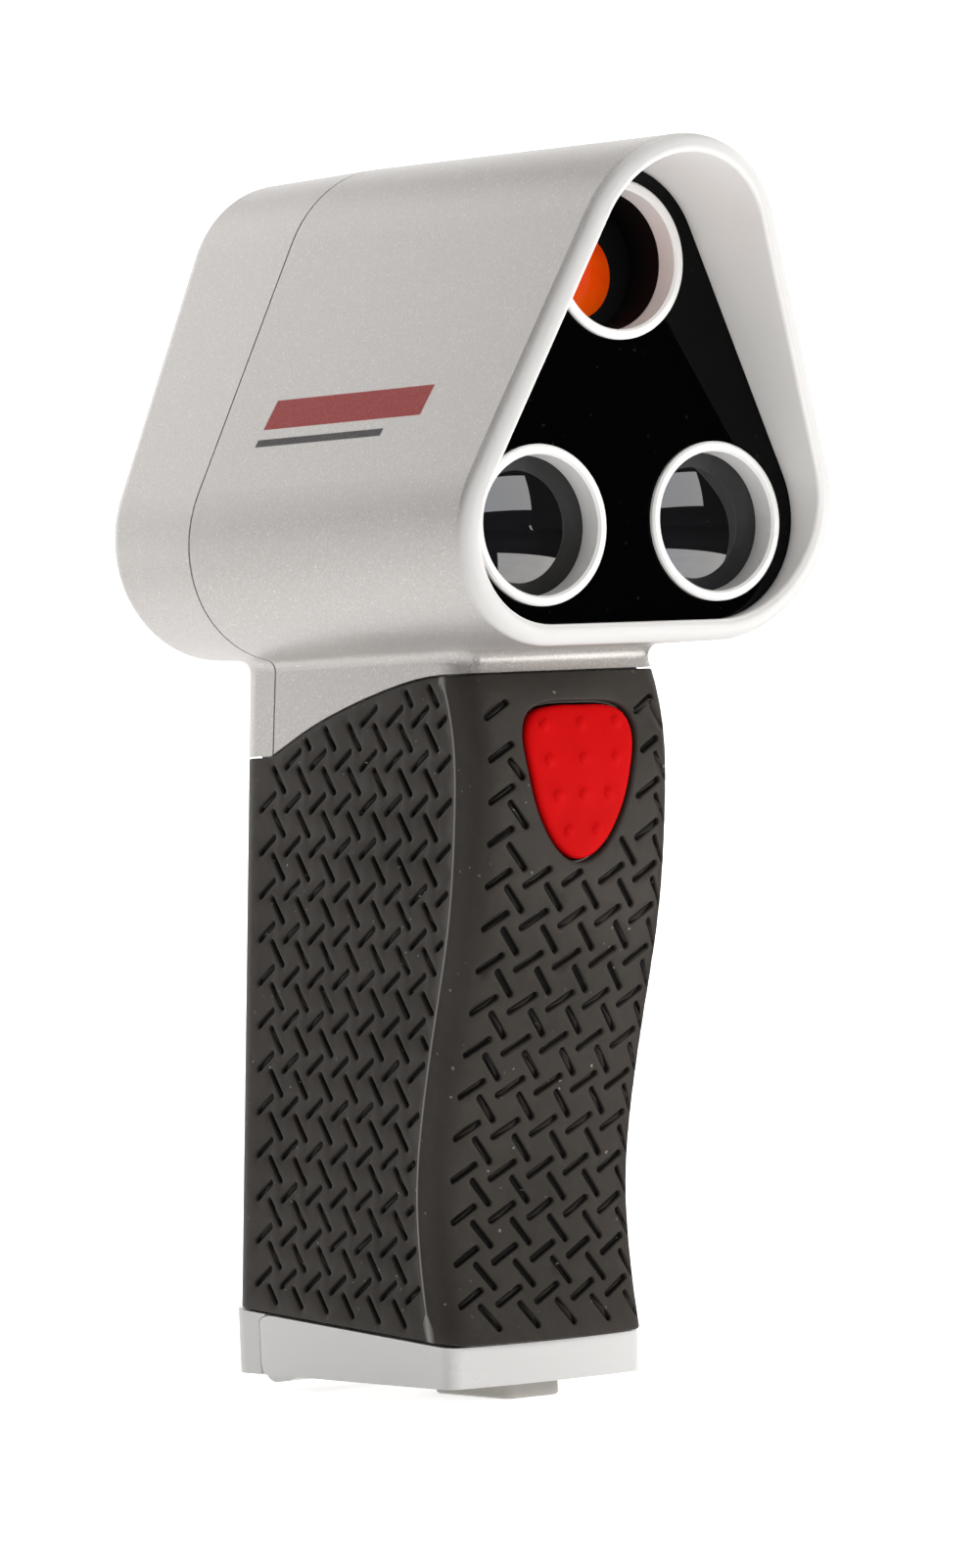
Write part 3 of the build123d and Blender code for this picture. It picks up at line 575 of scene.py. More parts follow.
def front_point(s, z):
    """Point of the front at arc place s and height z: crown, then elliptical corners."""
    s = np.asarray(s, float)
    z = np.asarray(z, float)
    side = np.sign(s)
    a = np.abs(s)
    front = FRONT_LINE(z)
    crown_y = front + crown_drop(KNEE)
    edge_y = crown_y + CORNER_DEEP
    t = np.clip((a - KNEE) / CORNER_LENGTH, 0, 1)
    pull = CORNER_ACROSS * 0.7
    xs = (KNEE, KNEE + pull, GRIP_HALF, GRIP_HALF)
    ys = (crown_y, crown_y + pull * KNEE / CROWN, edge_y - CORNER_DEEP * 0.68, edge_y)
    shares = ((1 - t) ** 3, 3 * t * (1 - t) ** 2, 3 * t**2 * (1 - t), t**3)
    corner_x = sum(w * p for w, p in zip(shares, xs))
    corner_y = sum(w * p for w, p in zip(shares, ys))
    x = np.where(a <= KNEE, s, side * corner_x)
    y = np.where(a <= KNEE, front + crown_drop(np.minimum(a, KNEE)), corner_y)
    return np.stack([x, y, z], -1)


def side_point(side):
    """The flat side at depth y and height z."""

    def place(y, z):
        y = np.asarray(y, float)
        return np.stack([np.full_like(y, side * GRIP_HALF), y, np.asarray(z, float)], -1)

    return place


def rear_point(s, z):
    """The rear at arc place s and height z: flat back, then round corners."""
    s = np.asarray(s, float)
    flat = GRIP_HALF - REAR_ROUND
    side = np.sign(s)
    a = np.abs(s)
    angle = np.clip((a - flat) / REAR_ROUND, 0, math.pi / 2)
    x = np.where(a <= flat, s, side * (flat + REAR_ROUND * np.sin(angle)))
    y = rear_y(z) - np.where(a <= flat, 0.0, REAR_ROUND * (1 - np.cos(angle)))
    return np.stack([x, y, np.asarray(z, float)], -1)


def surface_normals(place, s, z, outward):
    """Unit normals of a surface function, turned towards outward."""
    step = 0.01
    across = place(s + step, z) - place(s - step, z)
    up = place(s, z + step) - place(s, z - step)
    normal = np.cross(across, up)
    normal /= np.linalg.norm(normal, axis=1, keepdims=True)
    return normal * outward


# ------------------------------------------------------------- tread slots


def slot_ring(slot, grow):
    """Stadium outline round a slot's centre line, grown from its half width."""
    (s0, z0), (s1, z1) = slot
    along = math.atan2(z1 - z0, s1 - s0)
    half = SLOT_HALF + grow
    points = []
    for step in range(RING_POINTS):
        turn = 2 * math.pi * (step + 0.5) / RING_POINTS
        centre = (s1, z1) if math.cos(turn) > 0 else (s0, z0)
        points.append((centre[0] + half * math.cos(turn + along), centre[1] + half * math.sin(turn + along)))
    return points


def slot_line(centre, length, degrees):
    """A slot's centre line from its middle, overall length and slope."""
    reach = length / 2 - SLOT_HALF
    angle = math.radians(degrees)
    step = (reach * math.cos(angle), reach * math.sin(angle))
    return ((centre[0] - step[0], centre[1] - step[1]), (centre[0] + step[0], centre[1] + step[1]))


def clipped(slot, inside):
    """The stretch of a slot that lies where inside is true, or None if too little is left."""
    (s0, z0), (s1, z1) = slot
    steps = 24
    shares = [k / steps for k in range(steps + 1)]
    kept = [t for t in shares if inside(s0 + (s1 - s0) * t, z0 + (z1 - z0) * t)]
    if not kept:
        return None
    low, high = kept[0], kept[-1]
    if (high - low) * math.hypot(s1 - s0, z1 - z0) < SHORTEST_SLOT:
        return None
    return (
        (s0 + (s1 - s0) * low, z0 + (z1 - z0) * low),
        (s0 + (s1 - s0) * high, z0 + (z1 - z0) * high),
    )


def side_slots():
    """Tread of a flat side as centre lines over depth and height."""
    column, row, lean, sink = 6.82, 6.743, 0.092, 0.2
    first, shift = (37.69, 92.32), (-2.67, -3.33)
    long_slope, short_slope = 148, 233
    front_gap, rear_gap, top_gap, bottom_gap = 1.25, 4.6, 1.0, 1.6

    def inside(y, z):
        front_room = y - float(flash_y(z)) > front_gap
        rear_room = float(rear_y(z)) - y > rear_gap
        top_room = float(top_z(y)) - z > top_gap
        return front_room and rear_room and top_room and z - float(bottom_z(y)) > bottom_gap

    slots = []
    for i in range(8):
        for j in range(-4, 13):
            y = first[0] - column * i + lean * row * j
            z = first[1] - sink * i - row * j
            beside = (y + shift[0], z + shift[1])
            slots.append(clipped(slot_line((y, z), SLOT_LONG, long_slope), inside))
            slots.append(clipped(slot_line(beside, SLOT_SHORT, short_slope), inside))
    return [slot for slot in slots if slot]


def shield_outline(grow):
    """Outline of the trigger opening, thinned out and grown."""
    wide = 1 + grow / SHIELD_W
    tall = 1 + grow / SHIELD_H
    stride = len(SHIELD) // SHIELD_POINTS
    return [(x * wide, SHIELD_Z + (z - SHIELD_Z) * tall) for x, z in SHIELD[::stride]]


def read_shield():
    """Outline and middle height of the trigger opening, read off the solid sleeve."""
    low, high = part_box("trigger")
    middle = (low[2] + high[2]) / 2 / MM
    points = []
    sunk = 2.2
    rays = 2 * SHIELD_POINTS
    for step in range(rays):
        angle = 2 * math.pi * step / rays
        way = Vector((math.cos(angle), 0, math.sin(angle)))
        start = Vector((0, float(FRONT_LINE(middle)) + sunk, middle))
        hit = SLEEVE.ray_cast(start, way)[0]
        points.append((hit.x, hit.z))
    return points, middle


SHIELD, SHIELD_Z = read_shield()
SHIELD_W = max(abs(x) for x, _ in SHIELD)
SHIELD_H = max(abs(z - SHIELD_Z) for _, z in SHIELD)
SHIELD_ARRAY = np.array(SHIELD)


def clear_of_shield(s, z, gap):
    """True where a point of the front is at least gap away from the trigger opening."""
    near = np.min(np.hypot(SHIELD_ARRAY[:, 0] - s, SHIELD_ARRAY[:, 1] - z)) < gap
    return not near and not in_polygon(np.array([[s, z]]), SHIELD_ARRAY)[0]


def in_polygon(points, outline):
    """Which points lie in a closed outline."""
    x, z = points[:, 0], points[:, 1]
    inside = np.zeros(len(points), bool)
    for (x0, z0), (x1, z1) in zip(outline, np.roll(outline, -1, 0)):
        if z0 == z1:
            continue
        crosses = (z0 > z) != (z1 > z)
        inside ^= crosses & (x < (x1 - x0) * (z - z0) / (z1 - z0) + x0)
    return inside


def front_slots():
    """Tread of the front as centre lines over arc place and height."""
    column, row = 6.85, 6.34
    first, shift = (-14.7, 16.3), (3.1, -3.1)
    long_slope, short_slope = 29, -53
    long_tops, short_tops = (14, 10, 10, 10, 14), (13, 11, 10, 11, 14)
    top_row, top_lift = 14, 1.4
    (left, right), (low, high), gap = (-16.6, 19.5), (11.6, 108.8), 1.3

    def inside(s, z):
        return left < s < right and low < z < high and clear_of_shield(s, z, gap)

    slots = []
    for i, (long_top, short_top) in enumerate(zip(long_tops, short_tops)):
        for k in range(top_row + 1):
            s = first[0] + column * i
            z = first[1] + row * k
            if k <= long_top:
                slots.append(clipped(slot_line((s, z), SLOT_LONG, long_slope), inside))
            if k <= short_top:
                lift = top_lift if k == top_row else 0.0
                beside = (s + shift[0], z + shift[1] + lift)
                slots.append(clipped(slot_line(beside, SLOT_SHORT, short_slope), inside))
    return [slot for slot in slots if slot]


def rear_slots():
    """Tread of the back as centre lines over arc place and height."""
    column, row = 6.8, 6.6
    first, shift = (-11.4, 18.6), (2.9, -3.2)
    long_slope, short_slope = 30, -53
    low, high = 14.8, 98.0

    def inside(s, z):
        return low < z < high

    slots = []
    for i in range(4):
        for k in range(13):
            s = first[0] + column * i
            z = first[1] + row * k
            beside = (s + shift[0], z + shift[1])
            slots.append(clipped(slot_line((s, z), SLOT_LONG, long_slope), inside))
            slots.append(clipped(slot_line(beside, SLOT_SHORT, short_slope), inside))
    return [slot for slot in slots if slot]


# ------------------------------------------------------------ grip meshing


class Sheet:
    """Points and edges of one region before it is triangulated."""

    def __init__(self):
        self.points = []
        self.depth = []
        self.painted_slot_shade = []
        self.flash = []
        self.edges = []

    def add(self, points, depth=0.0, painted_slot_shade=0.0, flash=0.0, closed=False, joined=True):
        start = len(self.points)
        count = len(points)
        self.points += [tuple(p) for p in points]
        self.depth += list(np.broadcast_to(depth, count))
        self.painted_slot_shade += [painted_slot_shade] * count
        self.flash += [flash] * count
        if joined:
            last = count if closed else count - 1
            self.edges += [(start + k, start + (k + 1) % count) for k in range(last)]

    def add_slots(self, slots):
        for slot in slots:
            for grow, depth in SLOT_RINGS:
                # Each ring's painted slot shade grows with its depth.
                self.add(slot_ring(slot, grow), depth, min(1.0, depth * 1.5), closed=True)
            self.add(slot, SLOT_DEPTH, 1.0)

    def fill(self, s_range, z_range, spacing, keep):
        """Scattered points on a grid where keep is true, away from all slots."""
        s = np.arange(*s_range, spacing)
        z = np.arange(*z_range, spacing)
        grid = np.stack(np.meshgrid(s, z), -1).reshape(-1, 2)
        grid[:, 0] += (np.round(grid[:, 1] / spacing) % 2) * spacing / 2
        grid = grid[keep(grid[:, 0], grid[:, 1])]
        taken = np.array(self.points)
        cells = {}
        for p in taken:
            cells.setdefault((int(p[0] // 1), int(p[1] // 1)), []).append(p)
        clear = []
        for p in grid:
            key = (int(p[0] // 1), int(p[1] // 1))
            around_key = [(key[0] + a, key[1] + b) for a in (-1, 0, 1) for b in (-1, 0, 1)]
            near = [q for cell in around_key for q in cells.get(cell, ())]
            if all(math.hypot(p[0] - q[0], p[1] - q[1]) > SLOT_CLEARANCE for q in near):
                clear.append(p)
        self.add(clear, joined=False)

    def triangles(self, keep):
        """Triangulated region: points, their source rows and the triangles whose middle is kept."""
        found = delaunay_2d_cdt([Vector(p) for p in self.points], self.edges, [], 0, 1e-5)
        points = np.array([tuple(p) for p in found[0]])
        source = np.array([ids[0] if ids else -1 for ids in found[3]])
        faces = np.array([tuple(f) for f in found[2]])
        middle = points[faces].mean(1)
        return points, source, faces[keep(middle[:, 0], middle[:, 1])]


def build_region(sheet, keep, place, outward):
    """Triangulates a region and lifts it onto its surface. Returns points, faces and painted shades."""
    points, source, faces = sheet.triangles(keep)
    depth = np.where(source >= 0, np.array(sheet.depth)[source], 0.0)
    painted_slot_shade = np.where(source >= 0, np.array(sheet.painted_slot_shade)[source], 0.0)
    flash = np.where(source >= 0, np.array(sheet.flash)[source], 0.0)
    normal = surface_normals(place, points[:, 0], points[:, 1], outward)
    where = place(points[:, 0], points[:, 1]) - normal * depth[:, None]
    a, b, c = (where[faces[:, k]] for k in range(3))
    facing = np.einsum("ij,ij->i", np.cross(b - a, c - a), normal[faces[:, 0]])
    faces[facing < 0] = faces[facing < 0][:, ::-1]
    return where, faces, painted_slot_shade, flash


def shared_heights(depth, low, high):
    """Heights of the points that two regions share along an upright line, from guesses at its ends."""
    for _ in range(SETTLING_ROUNDS):
        low = float(bottom_z(depth(low)))
        high = float(top_z(depth(high)))
    between = np.arange(14.0, 108.0, 1.2)
    between = between[(between > low + 0.5) & (between < high - 0.5)]
    return np.concatenate([[low], between, [high]])


def flash_heights():
    """Shared heights along the flash line, where the side meets the front corner."""
    return shared_heights(flash_y, 10.0, 110.0)


def rear_heights():
    """Shared heights where the side meets the round rear corner."""
    return shared_heights(lambda z: rear_y(z) - REAR_ROUND, 12.0, 98.0)


def side_region(side):
    """One flat side with its tread."""
    sheet = Sheet()
    flash = flash_heights()
    rear = rear_heights()
    front_edge = np.stack([flash_y(flash), flash], 1)
    rear_edge = np.stack([rear_y(rear) - REAR_ROUND, rear], 1)
    # The flash line's points carry the painted highlight.
    sheet.add(front_edge, -FLASH_RISE, 0.0, 1.0)
    sheet.add(front_edge[1:-1] + (0.2, 0), 0.0)
    sheet.add(rear_edge)
    bottom = np.linspace(front_edge[0, 0], rear_edge[0, 0], 46)[1:-1]
    top = np.linspace(front_edge[-1, 0], rear_edge[-1, 0], 60)[1:-1]
    sheet.add([front_edge[0], *np.stack([bottom, bottom_z(bottom)], 1), rear_edge[0]])
    sheet.add([front_edge[-1], *np.stack([top, top_z(top)], 1), rear_edge[-1]])
    sheet.add_slots(side_slots())

    def keep(y, z):
        level = (z > bottom_z(y) + HAIR) & (z < top_z(y) - HAIR)
        return (y > flash_y(z) + HAIR / 2) & (y < rear_y(z) - REAR_ROUND - HAIR) & level

    def keep_points(y, z):
        beside = keep(y - MARGIN, z) & keep(y + MARGIN, z)
        return beside & keep(y, z - MARGIN) & keep(y, z + MARGIN)

    sheet.fill(SIDE_DEPTHS, GRIP_HEIGHTS, SIDE_SPACING, keep_points)
    return build_region(sheet, keep, side_point(side), 1.0 if side > 0 else -1.0)


def front_edge_heights(s, limit, start):
    """Heights where the front meets the sleeve's top or bottom edge."""
    z = np.full(len(s), start)
    for _ in range(SETTLING_ROUNDS):
        z = limit(front_point(s, z)[:, 1])
    return z


def front_region():
    """The crowned front and both of its corners, open for the trigger."""
    sheet = Sheet()
    reach = KNEE + CORNER_LENGTH
    flash = flash_heights()
    for side in (-1, 1):
        edge = np.stack([np.full(len(flash), side * reach), flash], 1)
        # The flash line's points carry the painted highlight.
        sheet.add(edge, -FLASH_RISE, 0.0, 1.0)
        sheet.add(edge[1:-1] - (side * 0.22, 0), 0.0)
    across = np.linspace(-reach, reach, 61)
    low = front_edge_heights(across, bottom_z, 9.5)
    high = front_edge_heights(across, top_z, 110.0)
    low[[0, -1]] = flash[0]
    high[[0, -1]] = flash[-1]
    sheet.add(np.stack([across, low], 1))
    sheet.add(np.stack([across, high], 1))
    for grow, depth in OPENING_EDGE:
        sheet.add(shield_outline(grow), depth, closed=True)
    sheet.add_slots(front_slots())
    opening = np.array(shield_outline(0.0))
    round_opening = np.array(shield_outline(1.0))

    def within(s, z, margin):
        level = (z > np.interp(s, across, low) + margin) & (z < np.interp(s, across, high) - margin)
        return (np.abs(s) < reach - margin) & level

    def keep(s, z):
        return within(s, z, HAIR) & ~in_polygon(np.stack([s, z], 1), opening)

    def keep_points(s, z):
        return within(s, z, MARGIN) & ~in_polygon(np.stack([s, z], 1), round_opening)

    sheet.fill((-reach, reach), GRIP_HEIGHTS, ROUND_SPACING, keep_points)
    return build_region(sheet, keep, front_point, 1.0)


def rear_region():
    """The back of the grip with its round corners."""
    sheet = Sheet()
    reach = GRIP_HALF - REAR_ROUND + REAR_ARC
    heights = rear_heights()
    for side in (-1, 1):
        sheet.add(np.stack([np.full(len(heights), side * reach), heights], 1))
    across = np.linspace(-reach, reach, 45)
    low = np.full(len(across), heights[0])
    for _ in range(SETTLING_ROUNDS):
        low = bottom_z(rear_point(across, low)[:, 1])
    low[[0, -1]] = heights[0]
    high = np.full(len(across), heights[-1])
    sheet.add(np.stack([across, low], 1))
    sheet.add(np.stack([across, high], 1))
    sheet.add_slots(rear_slots())

    def within(s, z, margin):
        level = (z > np.interp(s, across, low) + margin) & (z < heights[-1] - margin)
        return (np.abs(s) < reach - margin) & level

    sheet.fill((-reach, reach), GRIP_HEIGHTS, ROUND_SPACING, lambda s, z: within(s, z, MARGIN))
    return build_region(sheet, lambda s, z: within(s, z, HAIR), rear_point, -1.0)


def merge_regions(regions):
    """One mesh from several regions, with shared edge points joined."""
    points = np.concatenate([r[0] for r in regions])
    starts = np.cumsum([0] + [len(r[0]) for r in regions[:-1]])
    faces = np.concatenate([r[1] + start for r, start in zip(regions, starts)])
    painted_slot_shade = np.concatenate([r[2] for r in regions])
    flash = np.concatenate([r[3] for r in regions])
    bm = bmesh.new()
    painted_slot_shade_layer = bm.verts.layers.float.new("painted_slot_shade")
    flash_highlight_layer = bm.verts.layers.float.new("flash")
    verts = []
    for p, g, f in zip(points, painted_slot_shade, flash):
        v = bm.verts.new(p)
        v[painted_slot_shade_layer] = g
        v[flash_highlight_layer] = f
        verts.append(v)
    for face in faces:
        bm.faces.new([verts[k] for k in face])
    loose = [v for v in bm.verts if not v.link_faces]
    bmesh.ops.delete(bm, geom=loose, context="VERTS")
    bmesh.ops.remove_doubles(bm, verts=bm.verts, dist=WELD)
    return bm


def roll_edges(bm):
    """Rounds the sleeve's open edges inwards and gives the skin its thickness."""
    bm.normal_update()
    rims = [e for e in bm.edges if e.is_boundary]
    opening = [e for e in rims if all(is_at_shield(v.co) for v in e.verts)]
    ends = [e for e in rims if e not in set(opening)]
    wall = ((OPENING_DEEP, 0),)
    roll(bm, opening, lambda v: Vector((0, 1, 0)), lambda v: Vector((0, 0, 0)), wall)
    steps = ((0.09, 0.21), (0.3, EDGE_ROLL), (SLEEVE_DEEP, EDGE_ROLL))
    roll(bm, ends, lambda v: -level_normal(v), away_from_middle, steps)


def away_from_middle(v):
    """Up for the sleeve's top edge and down for its bottom edge."""
    return Vector((0, 0, 1 if v.co.z > GRIP_MIDDLE else -1))


def is_at_shield(p):
    """True for a point on the edge of the trigger opening."""
    near = np.min(np.hypot(SHIELD_ARRAY[:, 0] - p.x, SHIELD_ARRAY[:, 1] - p.z)) < MARGIN
    return p.y < -10 and near


def level_normal(v):
    """The normal at a point, turned level."""
    n = Vector((v.normal.x, v.normal.y, 0))
    return n.normalized() if n.length > 0 else Vector((0, 1, 0))


def roll(bm, edges, inward, outward, steps):
    """Extrudes open edges through the steps, given as inward and outward distances."""
    ways = {}
    for e in edges:
        for v in e.verts:
            ways[v] = (v.co.copy(), inward(v), outward(v))
    for into, out in steps:
        made = bmesh.ops.extrude_edge_only(bm, edges=edges)
        new_verts = [g for g in made["geom"] if isinstance(g, bmesh.types.BMVert)]
        new_edges = [g for g in made["geom"] if isinstance(g, bmesh.types.BMEdge)]
        old = {}
        for v in new_verts:
            mate = next(e.other_vert(v) for e in v.link_edges if e.other_vert(v) in ways)
            old[v] = ways[mate]
        for v, (home, a, b) in old.items():
            v.co = home + a * into + b * out
        ways = old
        edges = new_edges


def face_outwards(bm):
    """Turns every face of the skin away from the grip's middle."""
    bmesh.ops.recalc_face_normals(bm, faces=bm.faces)
    rightmost = max(bm.faces, key=lambda f: f.calc_center_median().x)
    if rightmost.normal.x < 0:
        bmesh.ops.reverse_faces(bm, faces=bm.faces)


def faces_in_order(bm):
    """Corner numbers of every face, sorted, because extruding leaves faces in no fixed order."""
    bm.verts.index_update()
    rows = []
    for face in bm.faces:
        corners = [v.index for v in face.verts]
        first = corners.index(min(corners))
        rows.append(corners[first:] + corners[:first])
    return sorted(rows)


def finish_mesh(bm, name, material):
    """Turns a mesh in millimetres into a smooth object in metres, with its painted shades."""
    bmesh.ops.scale(bm, vec=(MM, MM, MM), verts=bm.verts)
    mesh = bpy.data.meshes.new(name)
    mesh.from_pydata([v.co for v in bm.verts], [], faces_in_order(bm))
    for key in ("painted_slot_shade", "flash"):
        layer = bm.verts.layers.float[key]
        shade = mesh.attributes.new(key, "FLOAT", "POINT")
        shade.data.foreach_set("value", [v[layer] for v in bm.verts])
    bm.free()
    mesh.materials.append(material)
    mesh.polygons.foreach_set("use_smooth", [True] * len(mesh.polygons))
    obj = bpy.data.objects.new(name, mesh)
    bpy.context.scene.collection.objects.link(obj)
    return obj


def make_grip():
    """The rubber sleeve with every tread slot cut as real shape."""
    bm = merge_regions([side_region(-1), side_region(1), front_region(), rear_region()])
    roll_edges(bm)
    face_outwards(bm)
    grip = finish_mesh(bm, "grip_sleeve_tread", LOOKS["grip_rubber"])
    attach(grip, "housing")
    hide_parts("grip_sleeve")
    return grip


# ----------------------------------------------------------------- trigger

BUMP_ROWS = ((6.7, 3.5, 3), (6.2, 8.9, 3), (4.7, 14.3, 3), (2.6, 19.7, 2))
BUMP_RINGS = ((1.15, 0.0), (1.0, -0.05), (0.82, -0.17), (0.55, -0.28), (0.25, -0.33))
BUMP_POINTS = 16
BUMP_PEAK = -0.35
TRIGGER_GAP = 0.45
TRIGGER_BORDER = 1.7
TRIGGER_EDGE = ((0.0, 0.9), (-0.12, 0.52), (-0.38, 0.22), (-0.8, 0.06), (-1.4, 0.0))


def bump_places():
    """Across and height of each grip bump: three rows of three and a pair."""
    places = []
    for spread, drop, count in BUMP_ROWS:
        across = (-spread, 0, spread) if count == 3 else (-spread, spread)
        places += [(x, SHIELD_Z + SHIELD_H - drop) for x in across]
    return places


def make_trigger():
    """The red trigger cap with rounded edges and small round bumps."""
    sheet = Sheet()
    for grow, depth in TRIGGER_EDGE:
        sheet.add(shield_outline(grow - TRIGGER_GAP), depth, closed=True)
    for x, z in bump_places():
        for radius, depth in BUMP_RINGS:
            turns = np.linspace(0, 2 * math.pi, BUMP_POINTS, False)
            ring = [(x + radius * math.cos(a), z + radius * math.sin(a)) for a in turns]
            sheet.add(ring, depth, closed=True)
        sheet.add([(x, z)], BUMP_PEAK, joined=False)
    outline = np.array(shield_outline(-TRIGGER_GAP))
    inner = np.array(shield_outline(-TRIGGER_GAP - TRIGGER_BORDER))

    def keep(s, z):
        return in_polygon(np.stack([s, z], 1), outline)

    def keep_points(s, z):
        return in_polygon(np.stack([s, z], 1), inner)

    across, heights, spacing = (-11, 11), (80, 108), 1.3
    sheet.fill(across, heights, spacing, keep_points)
    region = build_region(sheet, keep, front_point, 1.0)
    bm = merge_regions([region])
    rim = [e for e in bm.edges if e.is_boundary]
    flange_thick = 1.0
    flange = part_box("trigger")[1][1] / MM - flange_thick
    made = bmesh.ops.extrude_edge_only(bm, edges=rim)
    back = [g for g in made["geom"] if isinstance(g, bmesh.types.BMVert)]
    for v in back:
        v.co.y = flange
    open_edges = [g for g in made["geom"] if isinstance(g, bmesh.types.BMEdge)]
    bmesh.ops.holes_fill(bm, edges=open_edges, sides=0)
    bmesh.ops.recalc_face_normals(bm, faces=bm.faces)
    cap = finish_mesh(bm, "trigger_cap", LOOKS["trigger_red"])
    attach(cap, "trigger")
    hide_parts("trigger")
    return cap


# ----------------------------------------------------------------- springs


def make_spring(joint, node):
    """A steel coil copied from its solid and fixed to its joint's parent."""
    coil = bpy.data.objects.new(node + "_coil", frame["nodes"][node].data.copy())
    bpy.context.scene.collection.objects.link(coil)
    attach(coil, joint["parent"])
    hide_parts(node)
    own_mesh(coil)


def make_springs():
    """The springs that the moving pieces press on."""
    for joint in frame["record"]["behaviour"]["joints"]:
        for row in joint.get("deforming_nodes", []):
            make_spring(joint, row["node"])


# ------------------------------------------------------- studio and camera

MIDDLE = (0.0, 0.0, 0.12)

# Each lamp's turn, tilt, distance, size and power, and whether glossy surfaces show it
LAMPS = {
    "window": (12, 20, 1.5, (1.25, 0.5), 9.5, True),
    "front_fill": (42, 6, 1.7, (1.0, 1.0), 13, False),
    "right": (85, 30, 1.7, (0.9, 1.1), 4, True),
    "camera_fill": (-38, 4, 1.7, (1.2, 1.2), 0.3, False),
    "left_top": (-125, 52, 1.8, (1.5, 1.2), 3, True),
    "rear_left": (-160, 22, 0.40, (0.3, 0.4), 0.6, True),
    "top": (0, 89, 1.8, (1.5, 1.5), 13, True),
}


def make_camera():
    """Camera at the object's front left, level with its middle."""
    turn, tilt, roll_angle = (math.radians(v) for v in (CAMERA_TURN, CAMERA_TILT, CAMERA_ROLL))
    back = Vector((math.sin(turn) * math.cos(tilt), -math.cos(turn) * math.cos(tilt), math.sin(tilt)))
    right = Vector((math.cos(turn), math.sin(turn), 0))
    up = back.cross(right)
    right_rolled = right * math.cos(roll_angle) + up * math.sin(roll_angle)
    up_rolled = up * math.cos(roll_angle) - right * math.sin(roll_angle)
    place = Vector(CAMERA_TARGET) + back * CAMERA_DISTANCE
    place += right_rolled * CAMERA_RIGHT + up_rolled * CAMERA_UP
    data = bpy.data.cameras.new("camera")
    data.sensor_width = 36.0
    data.lens = CAMERA_LENS
    data.clip_start = 0.05
    data.clip_end = 20.0
    camera = bpy.data.objects.new("camera", data)
    turned = Matrix((right_rolled, up_rolled, back)).transposed().to_4x4()
    camera.matrix_world = Matrix.Translation(place * MM) @ turned
    bpy.context.scene.collection.objects.link(camera)
    bpy.context.scene.camera = camera
    return camera


def aim(obj, target):
    """Turns a lamp towards a point."""
    obj.rotation_euler = (Vector(target) - obj.location).to_track_quat("-Z", "Y").to_euler()


def around(turn, tilt, distance):
    """Place at a turn and tilt in degrees round the middle of the object, in metres."""
    a, e = math.radians(turn), math.radians(tilt)
    way = Vector((math.sin(a) * math.cos(e), -math.cos(a) * math.cos(e), math.sin(e)))
    return way * distance + Vector(MIDDLE)


def soft_box(name, turn, tilt, distance, size, power):
    """Large soft lamp that faces the object."""
    data = bpy.data.lights.new(name, "AREA")
    data.shape = "RECTANGLE"
    data.size, data.size_y = size
    data.energy = power
    lamp = bpy.data.objects.new(name, data)
    lamp.location = around(turn, tilt, distance)
    aim(lamp, MIDDLE)
    bpy.context.scene.collection.objects.link(lamp)
    return lamp


def stage_sheet(name, rows, material):
    """Stage surface through rows of points."""
    bm = bmesh.new()
    lines = [[bm.verts.new(p) for p in row] for row in rows]
    for low, high in zip(lines, lines[1:]):
        for k in range(len(low) - 1):
            bm.faces.new((low[k], low[k + 1], high[k + 1], high[k]))
    mesh = bpy.data.meshes.new(name)
    bm.to_mesh(mesh)
    bm.free()
    mesh.materials.append(material)
    mesh.polygons.foreach_set("use_smooth", [True] * len(mesh.polygons))
    sheet = bpy.data.objects.new(name, mesh)
    bpy.context.scene.collection.objects.link(sheet)
    return sheet


def make_sweep():
    """Pale floor that curves up far behind the object."""
    radius, depth, width, height = 1.2, 3.2, 9.0, 4.0
    steps = 14
    profile = [(y, 0.0) for y in (-7.0, -1.0, 1.0, depth)]
    for a in np.linspace(0, math.pi / 2, steps)[1:]:
        profile.append((depth + radius * math.sin(a), radius * (1 - math.cos(a))))
    profile.append((depth + radius, height))
    turn = Matrix.Rotation(math.radians(CAMERA_TURN), 4, "Z")
    rows = [[turn @ Vector((x, y, z)) for x in (-width, 0.0, width)] for y, z in profile]
    stage_sheet("sweep", rows, studio_paper(0.55))


def only_in_reflections(sheet):
    """Lets a stage sheet show in glossy surfaces and nowhere else."""
    sheet.visible_camera = False
    sheet.visible_diffuse = False
    sheet.visible_shadow = False
    sheet.visible_transmission = False


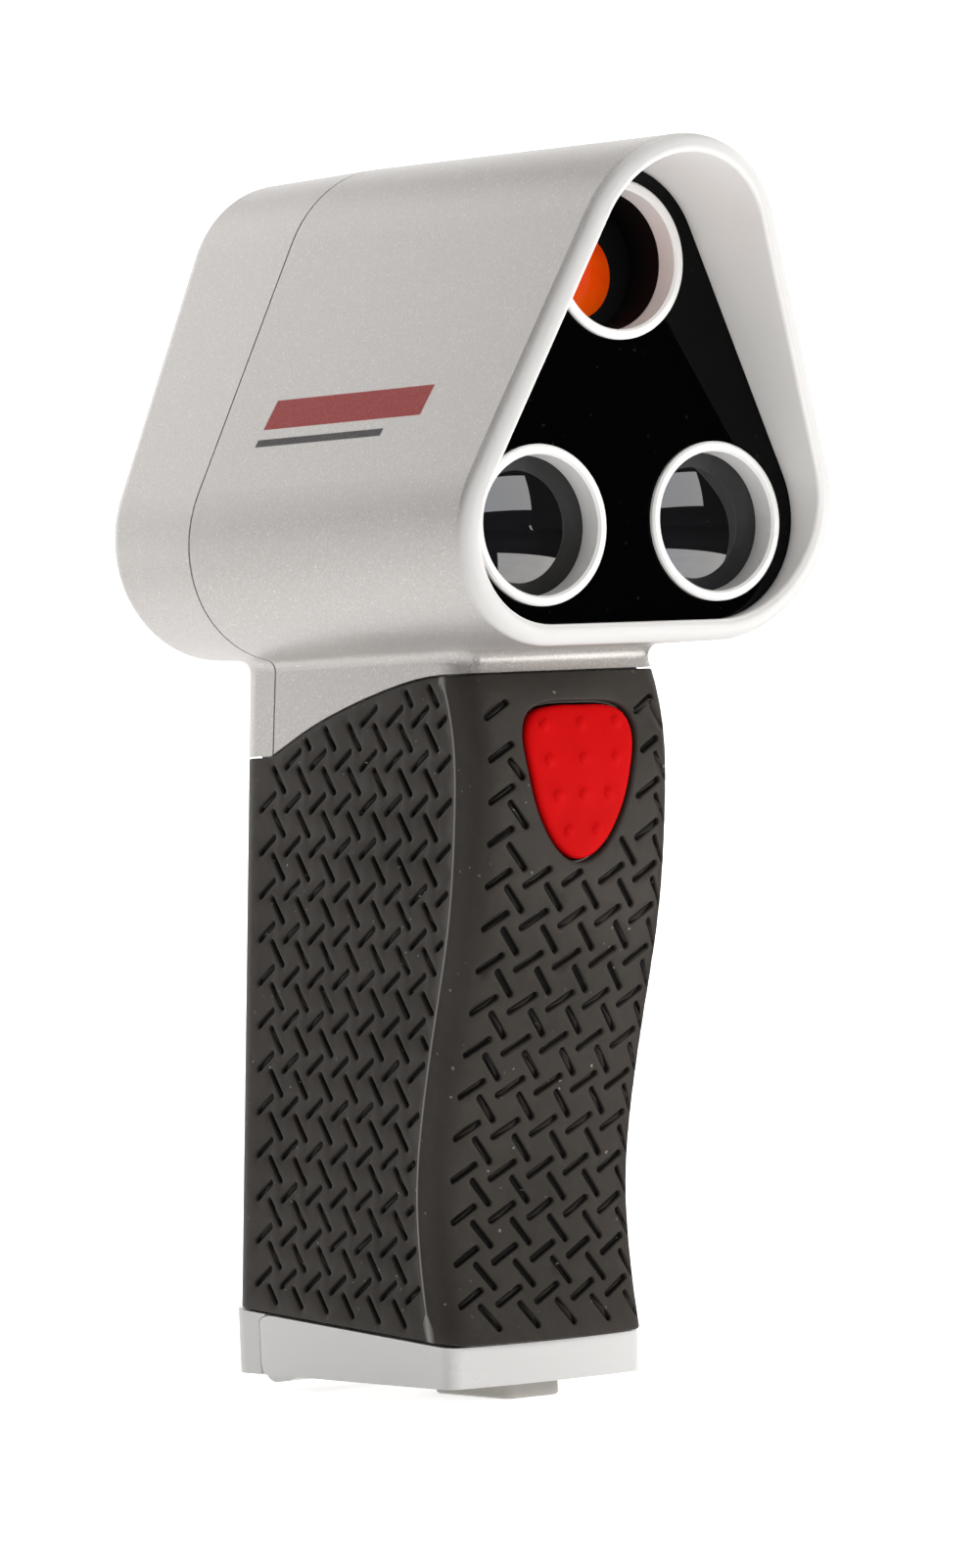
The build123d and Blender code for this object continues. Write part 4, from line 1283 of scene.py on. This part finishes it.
def floor_fan(name, radii, turns, lift, material):
    """Fan-shaped sheet on the floor ahead of the lenses, between two radii and two turns in degrees."""
    pace = 4
    angles = [math.radians(a) for a in range(turns[0], turns[1] + 1, pace)]
    rows = [[(r * math.sin(a), -r * math.cos(a), lift) for a in angles] for r in radii]
    sheet = stage_sheet(name, rows, material)
    only_in_reflections(sheet)
    return sheet


def make_floor_cards():
    """Black cloth with a bright card on it, ahead of the lenses, for their reflections."""
    cloth = Nodes("black_cloth")
    weave = cloth.noise(400, 2)
    dark = cloth.mix(weave, (0.001, 0.001, 0.001), (0.002, 0.002, 0.002))
    floor_fan("black_flag", (0.1, 16.0), (-42, 122), 0.001, cloth.set(Base_Color=dark, Roughness=1.0))
    card = Nodes("bright_card")
    sheen = card.span(card.noise(20, 2), 0.3, 0.7, 4.4, 5.0)
    bright = card.set(Base_Color=(0.9, 0.9, 0.9), Emission_Color=(1.0, 0.97, 0.94), Emission_Strength=sheen)
    floor_fan("bright_card", (0.16, 0.56), (8, 68), 0.002, bright)


def make_world():
    """White surroundings for the eye and dim ones for the object's own reflections."""
    dim, white = 0.03, 1.0
    world = bpy.data.worlds.new("studio")
    world.use_nodes = True
    tree = world.node_tree
    background = tree.nodes["Background"]
    path = tree.nodes.new("ShaderNodeLightPath")
    level = tree.nodes.new("ShaderNodeMapRange")
    level.inputs["To Min"].default_value = dim
    level.inputs["To Max"].default_value = white
    tree.links.new(path.outputs["Is Camera Ray"], level.inputs[0])
    background.inputs[0].default_value = (1.0, 1.0, 1.0, 1.0)
    tree.links.new(level.outputs[0], background.inputs[1])
    bpy.context.scene.world = world


def make_studio():
    """Floor, reflection control and large soft lamps."""
    make_sweep()
    make_floor_cards()
    make_world()
    for name, (turn, tilt, distance, size, power, glossy) in LAMPS.items():
        lamp = soft_box(name, turn, tilt, distance, size, power)
        lamp.visible_glossy = glossy
    backdrop = soft_box("backdrop_light", 0, 60, 2.2, (1.6, 1.6), 90)
    turned = Matrix.Rotation(math.radians(CAMERA_TURN), 4, "Z")
    backdrop.location = turned @ Vector((0, 1.6, 2.6))
    aim(backdrop, turned @ Vector((0, 4.2, 0.3)))


bpy.context.scene.view_settings.view_transform = "Standard"
dress_solids()
make_grip()
make_trigger()
make_springs()
make_camera()
make_studio()
